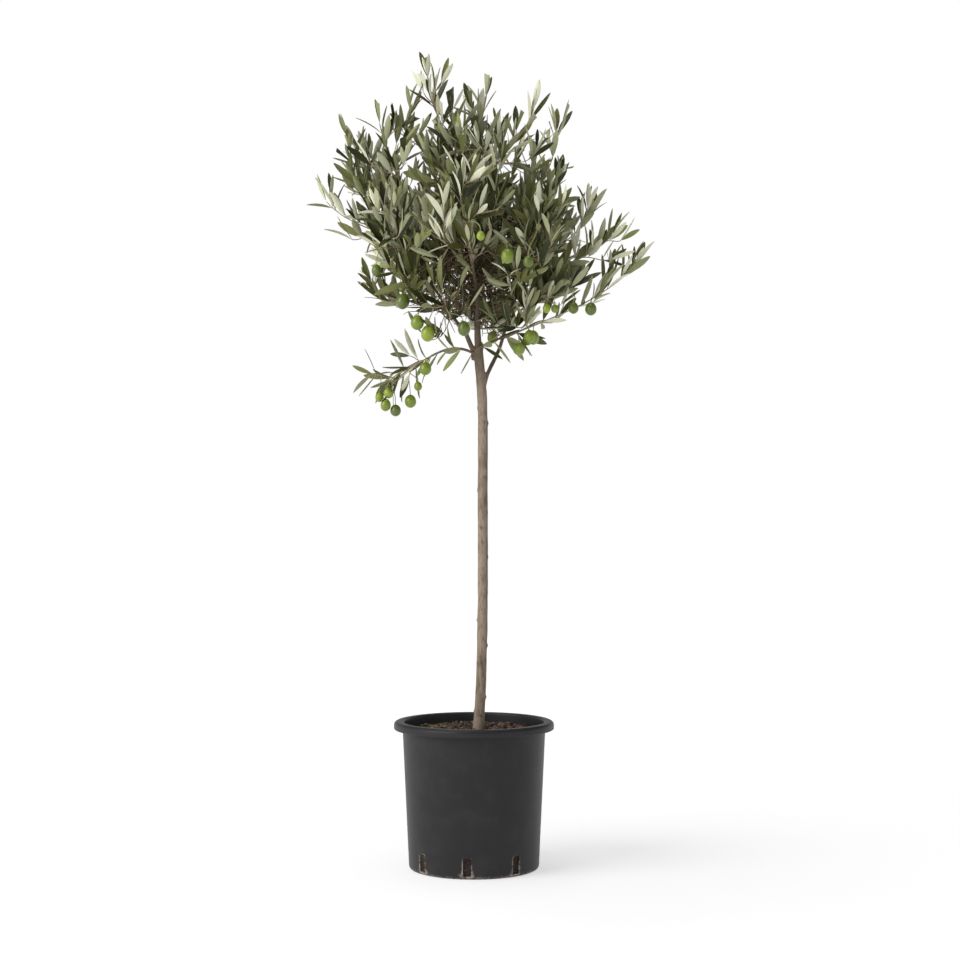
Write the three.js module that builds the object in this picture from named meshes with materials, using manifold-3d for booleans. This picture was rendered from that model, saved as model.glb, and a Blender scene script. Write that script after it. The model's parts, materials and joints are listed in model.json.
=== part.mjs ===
// A potted olive tree grown as a standard: one clear stem that forks under a round, feathery crown, in a black
// nursery pot with drain slots round its foot.
// Millimetres, +Z up. The origin is the centre of the pot's flat underside, -Y is the front and +X is to its right.
import * as THREE from "three";
import { mergeVertices } from "three/addons/utils/BufferGeometryUtils.js";
import Module from "manifold-3d";

const wasm = await Module();
wasm.setup();

const GAP = 0.4; // clearance that pieces resting on each other keep

// ---- driving dimensions -------------------------------------------------------------------------------------

const POT = {
  height: 220,
  footRadius: 97.5, // outside of the wall, just above the rounded foot
  neckRadius: 107, // outside of the wall, just below the rim
  footRound: 5,
  wall: 2.2,
  floor: 3,
  rimRadius: 120,
  rimHeight: 12,
  rimRound: 6,
  segments: 36,
};
const SLOT = { count: 8, width: 11, bottom: 5, top: 31, turn: -5.6 }; // turn: degrees from the front
const SOIL_LEVEL = 203;

const TRUNK = {
  // The centre line, as [across, depth, height], from just under the level cut at the foot.
  line: [
    [6, 0, SOIL_LEVEL - 8],
    [7, 0, 214],
    [9.5, 1, 250],
    [13, 2, 390],
    [13, 1, 560],
    [12.5, 0, 700],
    [6, 0, 778],
  ],
  radius: 8.1, // just above the root flare
  forkRadius: 7.4,
  flare: 0.16, // the share that the root flare adds at its foot
  flareHeight: 13,
  sides: 12,
  rings: 16,
};
const CROWN_SPRING = new THREE.Vector3(5, 0, 850); // the point that the crown's shoots spread from

// ---- solids -------------------------------------------------------------------------------------------------

// A closed three.js geometry as a manifold-3d solid.
function solid(geometry) {
  const bare = geometry.clone();
  for (const name of Object.keys(bare.attributes)) {
    if (name !== "position") bare.deleteAttribute(name);
  }
  const merged = mergeVertices(bare, 1e-3);
  return new wasm.Manifold(
    new wasm.Mesh({
      numProp: 3,
      vertProperties: new Float32Array(merged.attributes.position.array),
      triVerts: new Uint32Array(merged.index.array),
    }),
  );
}

// The largest separate body of a solid: a cut can leave crumbs behind.
function largest(cut) {
  return cut.decompose().reduce((a, b) => (b.volume() > a.volume() ? b : a));
}

function geometryOf(body) {
  const mesh = body.getMesh();
  const points = new Float32Array(mesh.numVert * 3);
  for (let i = 0; i < mesh.numVert; i++) {
    points.set(mesh.vertProperties.subarray(i * mesh.numProp, i * mesh.numProp + 3), i * 3);
  }
  const geometry = new THREE.BufferGeometry();
  geometry.setAttribute("position", new THREE.BufferAttribute(points, 3));
  geometry.setIndex(new THREE.BufferAttribute(new Uint32Array(mesh.triVerts), 1));
  geometry.computeVertexNormals();
  return geometry;
}

// A limb: a closed cylinder bent along a curve, with its radius given along its length from 0 to 1.
function limb(line, radiusAt, sides, rings, grow = 0) {
  const curve = new THREE.CatmullRomCurve3(line.map((p) => new THREE.Vector3(...p)));
  const frames = curve.computeFrenetFrames(rings, false);
  const geometry = new THREE.CylinderGeometry(1, 1, 1, sides, rings);
  const place = geometry.attributes.position;
  for (let i = 0; i < place.count; i++) {
    const along = place.getY(i) + 0.5;
    const ring = Math.round(along * rings);
    const radius = radiusAt(along) + grow;
    const point = curve.getPointAt(along);
    point.addScaledVector(frames.normals[ring], place.getX(i) * radius);
    point.addScaledVector(frames.binormals[ring], -place.getZ(i) * radius);
    place.setXYZ(i, point.x, point.y, point.z);
  }
  return solid(geometry);
}

// A mass of foliage: a sphere drawn out from its foot to its tip, across and deep at its waist, narrower towards the
// tip by its taper, with soft bulges that its seed turns.
const BULGE = 0.16;
const FINENESS = 2;
function blob({ foot, tip, across, deep, taper = 0.25, seed }, grow = 0) {
  const axis = tip.clone().sub(foot);
  const half = axis.length() / 2;
  const centre = foot.clone().add(tip).multiplyScalar(0.5);
  axis.normalize();
  const side = new THREE.Vector3(0, 1, 0).cross(axis).normalize();
  const away = axis.clone().cross(side);
  const geometry = new THREE.IcosahedronGeometry(1, FINENESS);
  const place = geometry.attributes.position;
  for (let i = 0; i < place.count; i++) {
    const [x, y, z] = [place.getX(i), place.getY(i), place.getZ(i)];
    const wave = Math.sin(3.1 * x + seed) * Math.cos(2.7 * y - 2 * seed) + 0.7 * Math.sin(4.3 * z + 3 * seed + 2 * x);
    const lump = (1 + BULGE * wave * (1 - z * z)) * (1 - taper * z);
    const point = centre.clone();
    point.addScaledVector(side, x * lump * across + x * grow);
    point.addScaledVector(away, y * lump * deep + y * grow);
    point.addScaledVector(axis, z * (half + grow));
    place.setXYZ(i, point.x, point.y, point.z);
  }
  return solid(geometry);
}

// The point at a reach from the crown's spring: turn is 0 to the right, 90 to the back, 180 to the left and 270 to
// the front, and rise is the angle above level, both in degrees.
function fromSpring(turn, rise, reach) {
  const [a, e] = [THREE.MathUtils.degToRad(turn), THREE.MathUtils.degToRad(rise)];
  const way = new THREE.Vector3(Math.cos(e) * Math.cos(a), Math.cos(e) * Math.sin(a), Math.sin(e));
  return CROWN_SPRING.clone().addScaledVector(way, reach);
}

// ---- pot and soil -------------------------------------------------------------------------------------------

// Points of a quarter round about (r, z), from one angle to another in degrees.
function round(r, z, radius, from, to, steps = 2) {
  return Array.from({ length: steps + 1 }, (_, i) => {
    const a = THREE.MathUtils.degToRad(from + ((to - from) * i) / steps);
    return new THREE.Vector2(r + radius * Math.cos(a), z + radius * Math.sin(a));
  });
}

function wallRadius(height) {
  const share = (height - POT.footRound) / (POT.height - POT.rimHeight - POT.footRound);
  return POT.footRadius + (POT.neckRadius - POT.footRadius) * share;
}

function pot() {
  const lipRound = 3;
  const inside = POT.neckRadius - POT.wall;
  const profile = [
    new THREE.Vector2(0, 0),
    ...round(POT.footRadius - POT.footRound, POT.footRound, POT.footRound, -90, 0),
    new THREE.Vector2(POT.neckRadius, POT.height - POT.rimHeight),
    new THREE.Vector2(POT.rimRadius, POT.height - POT.rimHeight),
    ...round(POT.rimRadius - POT.rimRound, POT.height - POT.rimRound, POT.rimRound, 0, 90, 3),
    ...round(inside + lipRound, POT.height - lipRound, lipRound, 90, 180),
    new THREE.Vector2(wallRadius(POT.floor) - POT.wall, POT.floor),
    new THREE.Vector2(0, POT.floor),
  ];
  let shell = solid(new THREE.LatheGeometry(profile, POT.segments).rotateX(Math.PI / 2));
  if (shell.volume() < 0) throw new Error("the pot's profile runs the wrong way round");
  for (let i = 0; i < SLOT.count; i++) {
    const turn = THREE.MathUtils.degToRad(SLOT.turn + (360 / SLOT.count) * i);
    const cutter = new THREE.BoxGeometry(SLOT.width, 30, SLOT.top - SLOT.bottom)
      .translate(0, -POT.footRadius, (SLOT.top + SLOT.bottom) / 2)
      .rotateZ(turn);
    shell = shell.subtract(solid(cutter));
  }
  return shell;
}

function soil() {
  const clear = POT.wall + GAP;
  const profile = [
    new THREE.Vector2(0, POT.floor + GAP),
    new THREE.Vector2(wallRadius(POT.floor) - clear, POT.floor + GAP),
    new THREE.Vector2(wallRadius(SOIL_LEVEL) - clear, SOIL_LEVEL),
    new THREE.Vector2(0, SOIL_LEVEL),
  ];
  return solid(new THREE.LatheGeometry(profile, POT.segments).rotateX(Math.PI / 2));
}

// ---- trunk and boughs ---------------------------------------------------------------------------------------

function trunkRadius(along) {
  const height = along * (TRUNK.line.at(-1)[2] - TRUNK.line[0][2]);
  const flare = 1 + TRUNK.flare * Math.exp(-height / TRUNK.flareHeight);
  return THREE.MathUtils.lerp(TRUNK.radius, TRUNK.forkRadius, along) * flare;
}

function trunk(grow = 0) {
  const whole = limb(TRUNK.line, trunkRadius, TRUNK.sides, TRUNK.rings, grow);
  return whole.trimByPlane([0, 0, 1], SOIL_LEVEL + GAP);
}

// Each bough: its centre line from inside the trunk, and its radius at the foot and at the tip.
const BOUGHS = {
  leader_bough: { line: [[7, 0, 770], [5, 0, 813], [7, 1, 860]], foot: 5.2, tip: 4.6 },
  left_bough: { line: [[2, 0, 768], [-7, 1, 788], [-20, 2, 822]], foot: 3.9, tip: 3.4 },
  right_bough: { line: [[11, 0, 716], [20, 2, 740], [38, 6, 778], [48, 9, 812]], foot: 3.4, tip: 2.8 },
  low_left_bough: {
    line: [[0, -4, 770], [-10, -8, 775], [-29, -12, 778], [-56, -17, 770], [-97, -24, 743], [-120, -28, 728]],
    foot: 2.1,
    tip: 1.5,
  },
  low_right_bough: {
    line: [[3, -4, 774], [12, -11, 781], [33, -17, 790], [60, -20, 799], [100, -22, 820]],
    foot: 1.9,
    tip: 1.5,
  },
};
const BOUGH_SIDES = 7;
const BOUGH_STEP = 11; // one ring about every 11 mm

function bough({ line, foot, tip }, grow = 0) {
  const length = line.slice(1).reduce((sum, p, i) => sum + Math.hypot(...p.map((v, k) => v - line[i][k])), 0);
  return limb(line, (t) => THREE.MathUtils.lerp(foot, tip, t), BOUGH_SIDES, Math.round(length / BOUGH_STEP), grow);
}

// ---- foliage ------------------------------------------------------------------------------------------------

// The heart of the crown, then the bundles of shoots that spread from its spring, as turn and rise in degrees and
// reach in millimetres. Each starts at a share of its reach and is across and deep at its waist.
const HEART = { foot: [6, 0, 800], tip: [-6, 0, 990], across: 82, deep: 80, taper: -0.15, seed: 0.4 };
const BUNDLES = {
  front_centre: { turn: 262, rise: 45, reach: 262, across: 68, deep: 64, seed: 1.3 },
  back_centre: { turn: 85, rise: 47, reach: 268, across: 70, deep: 66, seed: 2.1 },
  front_left: { turn: 218, rise: 36, reach: 245, across: 66, deep: 62, seed: 3.7 },
  back_left: { turn: 138, rise: 35, reach: 252, across: 68, deep: 64, seed: 4.4 },
  front_right: { turn: 308, rise: 38, reach: 238, across: 62, deep: 60, seed: 5.2 },
  back_right: { turn: 42, rise: 38, reach: 244, across: 64, deep: 62, seed: 6.6 },
  left_shoulder: { turn: 180, rise: 50, reach: 310, across: 62, deep: 66, seed: 7.3 },
  right_shoulder: { turn: 0, rise: 56, reach: 248, across: 54, deep: 64, seed: 8.9 },
  crown_top: { turn: 190, rise: 82, reach: 300, across: 74, deep: 88, seed: 9.4 },
  left_low: { turn: 184, rise: 8, reach: 195, across: 46, deep: 70, seed: 10.8 },
  right_low: { turn: 352, rise: 8, reach: 178, across: 44, deep: 66, seed: 11.5 },
  front_low: { turn: 245, rise: 2, reach: 165, across: 60, deep: 46, seed: 12.2 },
  back_low: { turn: 80, rise: 4, reach: 170, across: 64, deep: 46, seed: 13.6 },
};
// The outlying sprays: a single long shoot or two with their leaves, drawn out to the crown's furthest tips.
const SPRAYS = {
  top_left_plume: { turn: 205, rise: 75.4, reach: 388, from: 0.52, across: 43, deep: 38, seed: 1.9 },
  top_centre_plume: { turn: 70, rise: 83, reach: 342, from: 0.62, across: 32, deep: 36, seed: 2.8 },
  top_right_plume: { turn: 331, rise: 71, reach: 321, from: 0.56, across: 36, deep: 40, seed: 3.3 },
  upper_right_plume: { turn: 24, rise: 63, reach: 331, from: 0.6, across: 30, deep: 38, seed: 4.7 },
  upper_left_plume: { turn: 197, rise: 59.5, reach: 338, from: 0.55, across: 34, deep: 40, seed: 5.6 },
  left_shoulder_spray: { turn: 165, rise: 52, reach: 347, from: 0.55, across: 30, deep: 38, seed: 6.1 },
  left_spray: { turn: 186, rise: 33.7, reach: 304, from: 0.4, across: 32, deep: 38, seed: 7.7 },
  right_upper_spray: { turn: 13, rise: 38, reach: 264, from: 0.58, across: 30, deep: 36, seed: 8.2 },
  right_mid_spray: { turn: 350, rise: 25.4, reach: 256, from: 0.55, across: 27, deep: 36, seed: 9.9 },
};
// The sprays that the two low boughs carry, from foot to tip.
const LOW_SPRAYS = {
  low_left_spray: { foot: [-62, -18, 758], tip: [-167, -34, 722], across: 45, deep: 32, taper: -0.1, seed: 1.1 },
  low_right_spray: { foot: [64, -20, 800], tip: [262, -18, 911], across: 27, deep: 30, taper: 0.1, seed: 2.4 },
};
const BUNDLE_START = 0.22;

const bundle = ({ turn, rise, reach, from = BUNDLE_START, ...shape }) => ({
  foot: fromSpring(turn, rise, reach * from),
  tip: fromSpring(turn, rise, reach),
  ...shape,
});
const spray = ({ foot, tip, ...shape }) => ({
  foot: new THREE.Vector3(...foot),
  tip: new THREE.Vector3(...tip),
  ...shape,
});
const MASSES = {
  heart: spray(HEART),
  ...Object.fromEntries(Object.entries(BUNDLES).map(([name, b]) => [name, bundle(b)])),
  ...Object.fromEntries(Object.entries(SPRAYS).map(([name, b]) => [name, bundle(b)])),
  ...Object.fromEntries(Object.entries(LOW_SPRAYS).map(([name, b]) => [name, spray(b)])),
};

// ---- assembly -----------------------------------------------------------------------------------------------

const LOOKS = {
  pot: new THREE.MeshStandardMaterial({ color: 0x343335, roughness: 0.55, metalness: 0 }),
  soil: new THREE.MeshStandardMaterial({ color: 0x4a3428, roughness: 0.95, metalness: 0 }),
  bark: new THREE.MeshStandardMaterial({ color: 0x8a7a68, roughness: 0.85, metalness: 0 }),
  foliage: new THREE.MeshStandardMaterial({ color: 0x5d6648, roughness: 0.7, metalness: 0 }),
};
const tree = new THREE.Group();

function add(name, body, look) {
  const mesh = new THREE.Mesh(geometryOf(body), LOOKS[look]);
  mesh.name = name;
  tree.add(mesh);
}

add("pot", pot(), "pot");
add("soil", soil(), "soil");
add("trunk", trunk(), "bark");

// Each mass is cut clear of the ones before it.
const grown = [];
for (const [name, shape] of Object.entries(MASSES)) {
  const body = largest(grown.reduce((left, other) => left.subtract(other), blob(shape)));
  grown.push(blob(shape, GAP));
  add(name, body, "foliage");
}

// Each bough starts at the trunk's bark, or at the bough before it, and ends where it enters a mass.
const inTheWay = [trunk(GAP), ...grown];
for (const [name, shape] of Object.entries(BOUGHS)) {
  const body = largest(inTheWay.reduce((left, other) => left.subtract(other), bough(shape)));
  inTheWay.push(bough(shape, GAP));
  add(name, body, "bark");
}

export default tree;
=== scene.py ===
"""A potted olive tree grown as a standard.

A slender stem stands under a loose, feathery head of narrow grey-green leaves and green fruit, in a
black nursery pot. Metres, +Z up, -Y to the front. The pot, the limbs and the masses of foliage are
where the CAD frame has them: limbs are measured from their solids, and each mass is filled with
shoots that fork off the limbs by a seeded rule.
"""

import json
import logging
import math
import random
from dataclasses import dataclass, field, replace
from enum import Enum

import bmesh
import bpy
import numpy as np
from mathutils import Matrix, Vector, noise
from mathutils.bvhtree import BVHTree
from mathutils.kdtree import KDTree

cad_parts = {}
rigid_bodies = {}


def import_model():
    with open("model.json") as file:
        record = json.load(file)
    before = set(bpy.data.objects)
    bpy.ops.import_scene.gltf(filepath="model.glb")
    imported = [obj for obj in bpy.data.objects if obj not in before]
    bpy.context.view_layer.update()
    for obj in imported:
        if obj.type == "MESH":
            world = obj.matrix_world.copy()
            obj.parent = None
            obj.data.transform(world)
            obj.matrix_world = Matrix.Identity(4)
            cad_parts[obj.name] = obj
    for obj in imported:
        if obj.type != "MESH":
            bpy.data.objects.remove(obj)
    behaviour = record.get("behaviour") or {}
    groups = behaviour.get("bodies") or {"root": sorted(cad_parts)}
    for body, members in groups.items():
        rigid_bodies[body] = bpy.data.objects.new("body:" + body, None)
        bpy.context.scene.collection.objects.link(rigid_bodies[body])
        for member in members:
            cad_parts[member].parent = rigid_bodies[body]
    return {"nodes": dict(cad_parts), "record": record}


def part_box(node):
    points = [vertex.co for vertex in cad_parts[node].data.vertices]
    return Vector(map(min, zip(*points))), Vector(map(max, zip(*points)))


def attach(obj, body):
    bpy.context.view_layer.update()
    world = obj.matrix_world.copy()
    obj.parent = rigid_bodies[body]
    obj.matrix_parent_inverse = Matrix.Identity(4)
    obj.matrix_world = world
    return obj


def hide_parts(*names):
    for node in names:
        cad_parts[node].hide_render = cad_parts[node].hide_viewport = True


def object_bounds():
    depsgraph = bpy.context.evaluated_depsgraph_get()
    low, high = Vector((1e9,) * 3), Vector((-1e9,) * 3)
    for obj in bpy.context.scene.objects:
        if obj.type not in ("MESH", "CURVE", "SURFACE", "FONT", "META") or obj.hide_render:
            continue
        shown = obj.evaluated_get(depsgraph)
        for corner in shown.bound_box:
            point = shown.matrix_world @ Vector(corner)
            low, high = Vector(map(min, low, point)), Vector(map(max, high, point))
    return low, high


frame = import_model()
CAD_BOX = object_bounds()

LOG = logging.getLogger("olive")
BODY = "root"
SEED = "olive standard"
MM = 0.001
UP = Vector((0.0, 0.0, 1.0))

UPPER_BOUGHS = ("leader_bough", "left_bough", "right_bough")
LOW_BOUGHS = ("low_left_bough", "low_right_bough")
LIMB_NODES = ("trunk", *UPPER_BOUGHS, *LOW_BOUGHS)
MASS_NODES = tuple(
    entry["node"] for entry in frame["record"]["subparts"] if entry["material_slot"] == "foliage"
)
GOLDEN_TURN = 2.4  # about the golden angle, in radians
Colour = tuple[float, float, float, float]


class Slot(str, Enum):
    """The record's material slots."""

    POT = "pot"
    SOIL = "soil"
    BARK = "bark"
    FOLIAGE = "foliage"


# ---- finishes ------------------------------------------------------------------------------------


def tone(red: int, green: int, blue: int) -> Colour:
    """Turns a display colour into a linear one.

    Args:
        red: Red from 0 to 255.
        green: Green from 0 to 255.
        blue: Blue from 0 to 255.

    Returns:
        The colour as linear red, green, blue and an alpha of 1.
    """

    def linear(value: int) -> float:
        """Returns one channel's linear value."""
        share = value / 255
        return share / 12.92 if share <= 0.04045 else ((share + 0.055) / 1.055) ** 2.4

    return (linear(red), linear(green), linear(blue), 1.0)


class Graph:
    """A material's nodes, with short ways to add and join them."""

    def __init__(self, name: str) -> None:
        """Starts a material with a Principled surface.

        Args:
            name: The material's name.
        """
        self.material = bpy.data.materials.new(name)
        self.material.use_nodes = True
        self.tree = self.material.node_tree
        self.tree.nodes.clear()
        self.shader = self.tree.nodes.new("ShaderNodeBsdfPrincipled")
        output = self.tree.nodes.new("ShaderNodeOutputMaterial")
        self.tree.links.new(self.shader.outputs["BSDF"], output.inputs["Surface"])
        self.place = self.tree.nodes.new("ShaderNodeTexCoord").outputs["Object"]

    def add(self, kind: str, inputs: dict | None = None, **settings: object) -> bpy.types.Node:
        """Adds a node.

        Args:
            kind: The node's type, without its ShaderNode prefix.
            inputs: Values or output sockets by input name or number.
            **settings: The node's own properties.

        Returns:
            The node.
        """
        node = self.tree.nodes.new("ShaderNode" + kind)
        for name, value in settings.items():
            setattr(node, name, value)
        for key, value in (inputs or {}).items():
            self.feed(node.inputs[key], value)
        return node

    def feed(self, socket: bpy.types.NodeSocket, value: object) -> None:
        """Sets a socket to a value, or joins it to an output socket.

        Args:
            socket: The input socket.
            value: A value, or another node's output.
        """
        if isinstance(value, bpy.types.NodeSocket):
            self.tree.links.new(value, socket)
        else:
            socket.default_value = value

    def surface(self, name: str, value: object) -> None:
        """Sets one of the surface's inputs to a value, or joins it to an output socket."""
        self.feed(self.shader.inputs[name], value)

    def sum(self, operation: str, *values: object) -> bpy.types.NodeSocket:
        """Adds a math node and returns its result.

        Args:
            operation: The math node's operation.
            *values: Its inputs in order, as numbers or sockets.

        Returns:
            The result socket.
        """
        return self.add("Math", dict(enumerate(values)), operation=operation).outputs[0]

    def fade(
        self, value: bpy.types.NodeSocket, low: float, high: float, start: float = 0.0, end: float = 1.0
    ) -> bpy.types.NodeSocket:
        """Turns a range of a value into another range, and holds it past both ends.

        Args:
            value: What it reads.
            low: The value that gives the start.
            high: The value that gives the end.
            start: The result at the low value.
            end: The result at the high value.

        Returns:
            The result socket.
        """
        ranges = {"From Min": low, "From Max": high, "To Min": start, "To Max": end}
        return self.add("MapRange", {"Value": value, **ranges}).outputs[0]

    def axes(self) -> tuple[bpy.types.NodeSocket, ...]:
        """Returns the object coordinates as three sockets, x, y and z."""
        return tuple(self.add("SeparateXYZ", {0: self.place}).outputs)

    def grain(
        self, scale: float, detail: float = 3.0, stretch: tuple[float, float, float] = (1, 1, 1)
    ) -> bpy.types.NodeSocket:
        """Adds a noise on object coordinates.

        Args:
            scale: The noise's scale, in waves per metre.
            detail: Its octaves.
            stretch: How much the pattern is squeezed along each axis.

        Returns:
            The noise's factor socket.
        """
        vector = self.add("Mapping", {"Vector": self.place, "Scale": stretch}).outputs[0]
        return self.add("TexNoise", {"Vector": vector, "Scale": scale, "Detail": detail}).outputs[0]

    def ramp(self, factor: bpy.types.NodeSocket, *stops: tuple[float, tuple]) -> bpy.types.NodeSocket:
        """Adds a colour ramp.

        Args:
            factor: What it reads.
            *stops: Each stop's position and colour, lowest first.

        Returns:
            The colour socket.
        """
        node = self.add("ValToRGB", {"Fac": factor})
        elements = node.color_ramp.elements
        while len(elements) < len(stops):
            elements.new(1.0)
        for element, (position, colour) in zip(elements, stops):
            element.position = position
            element.color = colour
        return node.outputs["Color"]

    def mix(self, factor: object, first: object, second: object) -> bpy.types.NodeSocket:
        """Mixes two colours.

        Args:
            factor: The share of the second.
            first: A colour or a socket.
            second: A colour or a socket.

        Returns:
            The colour socket.
        """
        node = self.add("Mix", {0: factor, 6: first, 7: second}, data_type="RGBA")
        return node.outputs[2]

    def bump(self, height: bpy.types.NodeSocket, strength: float, distance: float) -> None:
        """Raises the surface by a height, after any bump already there.

        Args:
            height: The height from 0 to 1.
            strength: How much of it shows.
            distance: How far 1 stands out, in metres.
        """
        node = self.add("Bump", {"Height": height, "Strength": strength, "Distance": distance})
        normal = self.shader.inputs["Normal"]
        if normal.links:
            self.feed(node.inputs["Normal"], normal.links[0].from_socket)
        self.feed(normal, node.outputs["Normal"])


class Finish:
    """A finish that makes its material once."""

    def paint(self, graph: Graph) -> None:
        """Sets up the material's nodes."""
        raise NotImplementedError

    def material(self) -> bpy.types.Material:
        """Returns the finish's material, made at the first call.

        Returns:
            The material.
        """
        name = self.title()
        found = bpy.data.materials.get(name)
        if found:
            return found
        graph = Graph(name)
        self.paint(graph)
        return graph.material

    def title(self) -> str:
        """Returns the material's name."""
        return type(self).__name__


@dataclass(frozen=True)
class Leather(Finish):
    """A leaf's face: one plain colour with a fine leathery grain."""

    name: str
    colour: Colour
    roughness: float
    unevenness: float = 0.08

    def title(self) -> str:
        """Returns the material's name."""
        return "Leaf_" + self.name

    def paint(self, graph: Graph) -> None:
        """Sets a plain colour, and a grain that only moves the roughness and the bump.

        Args:
            graph: The material's nodes.
        """
        grain = graph.grain(420.0, 2.0)
        least, most = self.roughness - self.unevenness, self.roughness + self.unevenness
        graph.surface("Base Color", self.colour)
        graph.surface("Specular IOR Level", 0.3)
        graph.surface("Roughness", graph.fade(grain, 0.0, 1.0, least, most))
        graph.bump(grain, 0.05, 0.3 * MM)


class Upper(Enum):
    """The tints of the leaves' upper faces: the tone differs from leaf to leaf, and the deeper tints,
    given more to the masses in shade, also paint their shade.
    """

    DEEP = Leather("upper_deep", tone(42, 46, 15), 0.5)
    DARK = Leather("upper_dark", tone(59, 63, 25), 0.5)
    MIDDLE = Leather("upper_middle", tone(83, 86, 42), 0.48)
    OLIVE = Leather("upper_olive", tone(106, 108, 60), 0.48)
    FRESH = Leather("upper_fresh", tone(140, 147, 90), 0.48)


class Under(Enum):
    """The tints of the leaves' downy undersides: the dull tint, given more to the masses in shade, also
    paints their shade.
    """

    SILVER = Leather("under_silver", tone(202, 202, 176), 0.75)
    SAGE = Leather("under_sage", tone(158, 160, 126), 0.75)
    DULL = Leather("under_dull", tone(128, 131, 92), 0.75)


@dataclass(frozen=True)
class OliveSkin(Finish):
    """Olive skin: plain green with pale pinprick pores."""

    name: str
    colour: Colour
    paleness: float = 1.7  # how much brighter the pores are

    def title(self) -> str:
        """Returns the material's name."""
        return "Olive_" + self.name

    def paint(self, graph: Graph) -> None:
        """Sets the colour, the waxy gloss and the pores.

        Args:
            graph: The material's nodes.
        """
        cells = graph.add("TexVoronoi", {"Vector": graph.place, "Scale": 900.0}).outputs["Distance"]
        pores = graph.sum("MULTIPLY", graph.fade(cells, 0.1, 0.24, 1.0, 0.0), 0.45)
        pale = tuple(min(1.0, self.paleness * c) for c in self.colour[:3]) + (1.0,)
        graph.surface("Base Color", graph.mix(pores, self.colour, pale))
        graph.surface("Roughness", 0.34)
        graph.surface("Coat Weight", 0.15)
        graph.bump(graph.grain(260.0), 0.2, 0.6 * MM)


class Fruit(Enum):
    """The tint of a cluster of olives: the plain green, a lighter copy of it with painted light, and a
    darker copy with painted shade.
    """

    GREEN = OliveSkin("green", tone(110, 128, 32))
    # A lighter copy of the green: painted light.
    BRIGHT = OliveSkin("bright", tone(128, 145, 40))
    # A darker copy of the green: painted shade.
    SHADED = OliveSkin("shaded", tone(84, 99, 31))


@dataclass(frozen=True)
class Bark(Finish):
    """Young bark, streaked up the limb, with dark flecks, and with shade painted on it in the crown.

    The limbs give the crown's foot, from a little below which shade is painted on the stem.
    The shoots give the crown's heart, round which shade is painted on them.
    """

    name: str = "stem"
    light: Colour = tone(146, 131, 115)
    dark: Colour = tone(106, 93, 78)
    # Colour of the flecks, and on the limbs also of the painted shade that starts below the crown.
    fleck_and_shade: Colour = tone(74, 61, 49)
    shade: Colour = tone(40, 33, 27)
    # Height of the crown's foot, near which shade is painted on the limbs.
    crown: float = math.inf
    # Point round which shade is painted on the shoots.
    heart: tuple[float, ...] = ()

    def title(self) -> str:
        """Returns the material's name."""
        return "Bark_" + self.name

    def paint(self, graph: Graph) -> None:
        """Sets the streaks, the patches, the flecks, the painted shade in the crown and their relief.

        Args:
            graph: The material's nodes.
        """
        streaks = graph.grain(230.0, 5.0, (1, 1, 0.24))
        patches = graph.grain(40.0, 4.0, (1, 1, 0.6))
        blend = graph.sum("MULTIPLY", graph.sum("ADD", streaks, patches), 0.5)
        colour = graph.ramp(blend, (0.36, self.dark), (0.52, self.light), (0.7, self.dark))
        flecks = graph.grain(190.0, 4.0, (1, 1, 0.5))
        spots = graph.sum("MULTIPLY", graph.fade(flecks, 0.61, 0.71), 0.7)
        colour = graph.mix(spots, colour, self.fleck_and_shade)
        # Painted shade on the limbs, below and inside the crown.
        if self.crown < math.inf:
            colour = self.shaded_limbs(graph, colour)
        # Painted shade on the shoots near the crown's heart.
        if self.heart:
            away = graph.add("VectorMath", {0: graph.place, 1: self.heart}, operation="DISTANCE")
            near = graph.fade(away.outputs["Value"], 110 * MM, 60 * MM, 0.0, 0.75)
            colour = graph.mix(near, colour, self.shade)
        graph.surface("Base Color", colour)
        graph.surface("Roughness", 0.85)
        graph.surface("Specular IOR Level", 0.25)
        graph.bump(streaks, 0.55, 0.9 * MM)
        graph.bump(flecks, 0.35, 1.2 * MM)

    def shaded_limbs(self, graph: Graph, colour: bpy.types.NodeSocket) -> bpy.types.NodeSocket:
        """Paints shade on the stem from a little below the crown's foot, and on the right bough below it.

        Args:
            graph: The material's nodes.
            colour: The bark's colour.

        Returns:
            The colour with the painted shade.
        """
        x, _, z = graph.axes()
        aside = graph.sum("ABSOLUTE", graph.sum("SUBTRACT", x, 12 * MM))
        stem = graph.fade(aside, 50 * MM, 30 * MM)
        # Painted shade up the stem towards the crown's foot.
        rise = graph.fade(z, self.crown - 100 * MM, self.crown - 20 * MM, 0.0, 0.72)
        colour = graph.mix(graph.sum("MULTIPLY", rise, stem), colour, self.fleck_and_shade)
        # Deeper painted shade inside the crown.
        inside = graph.fade(z, self.crown, self.crown + 20 * MM, 0.0, 0.7)
        colour = graph.mix(graph.sum("MULTIPLY", inside, stem), colour, self.shade)
        # Painted shade on the right bough below the crown.
        right = graph.fade(x, 17 * MM, 22 * MM)
        below = graph.fade(z, self.crown - 20 * MM, self.crown - 26 * MM, 0.0, 0.65)
        return graph.mix(graph.sum("MULTIPLY", right, below), colour, self.shade)


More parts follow.
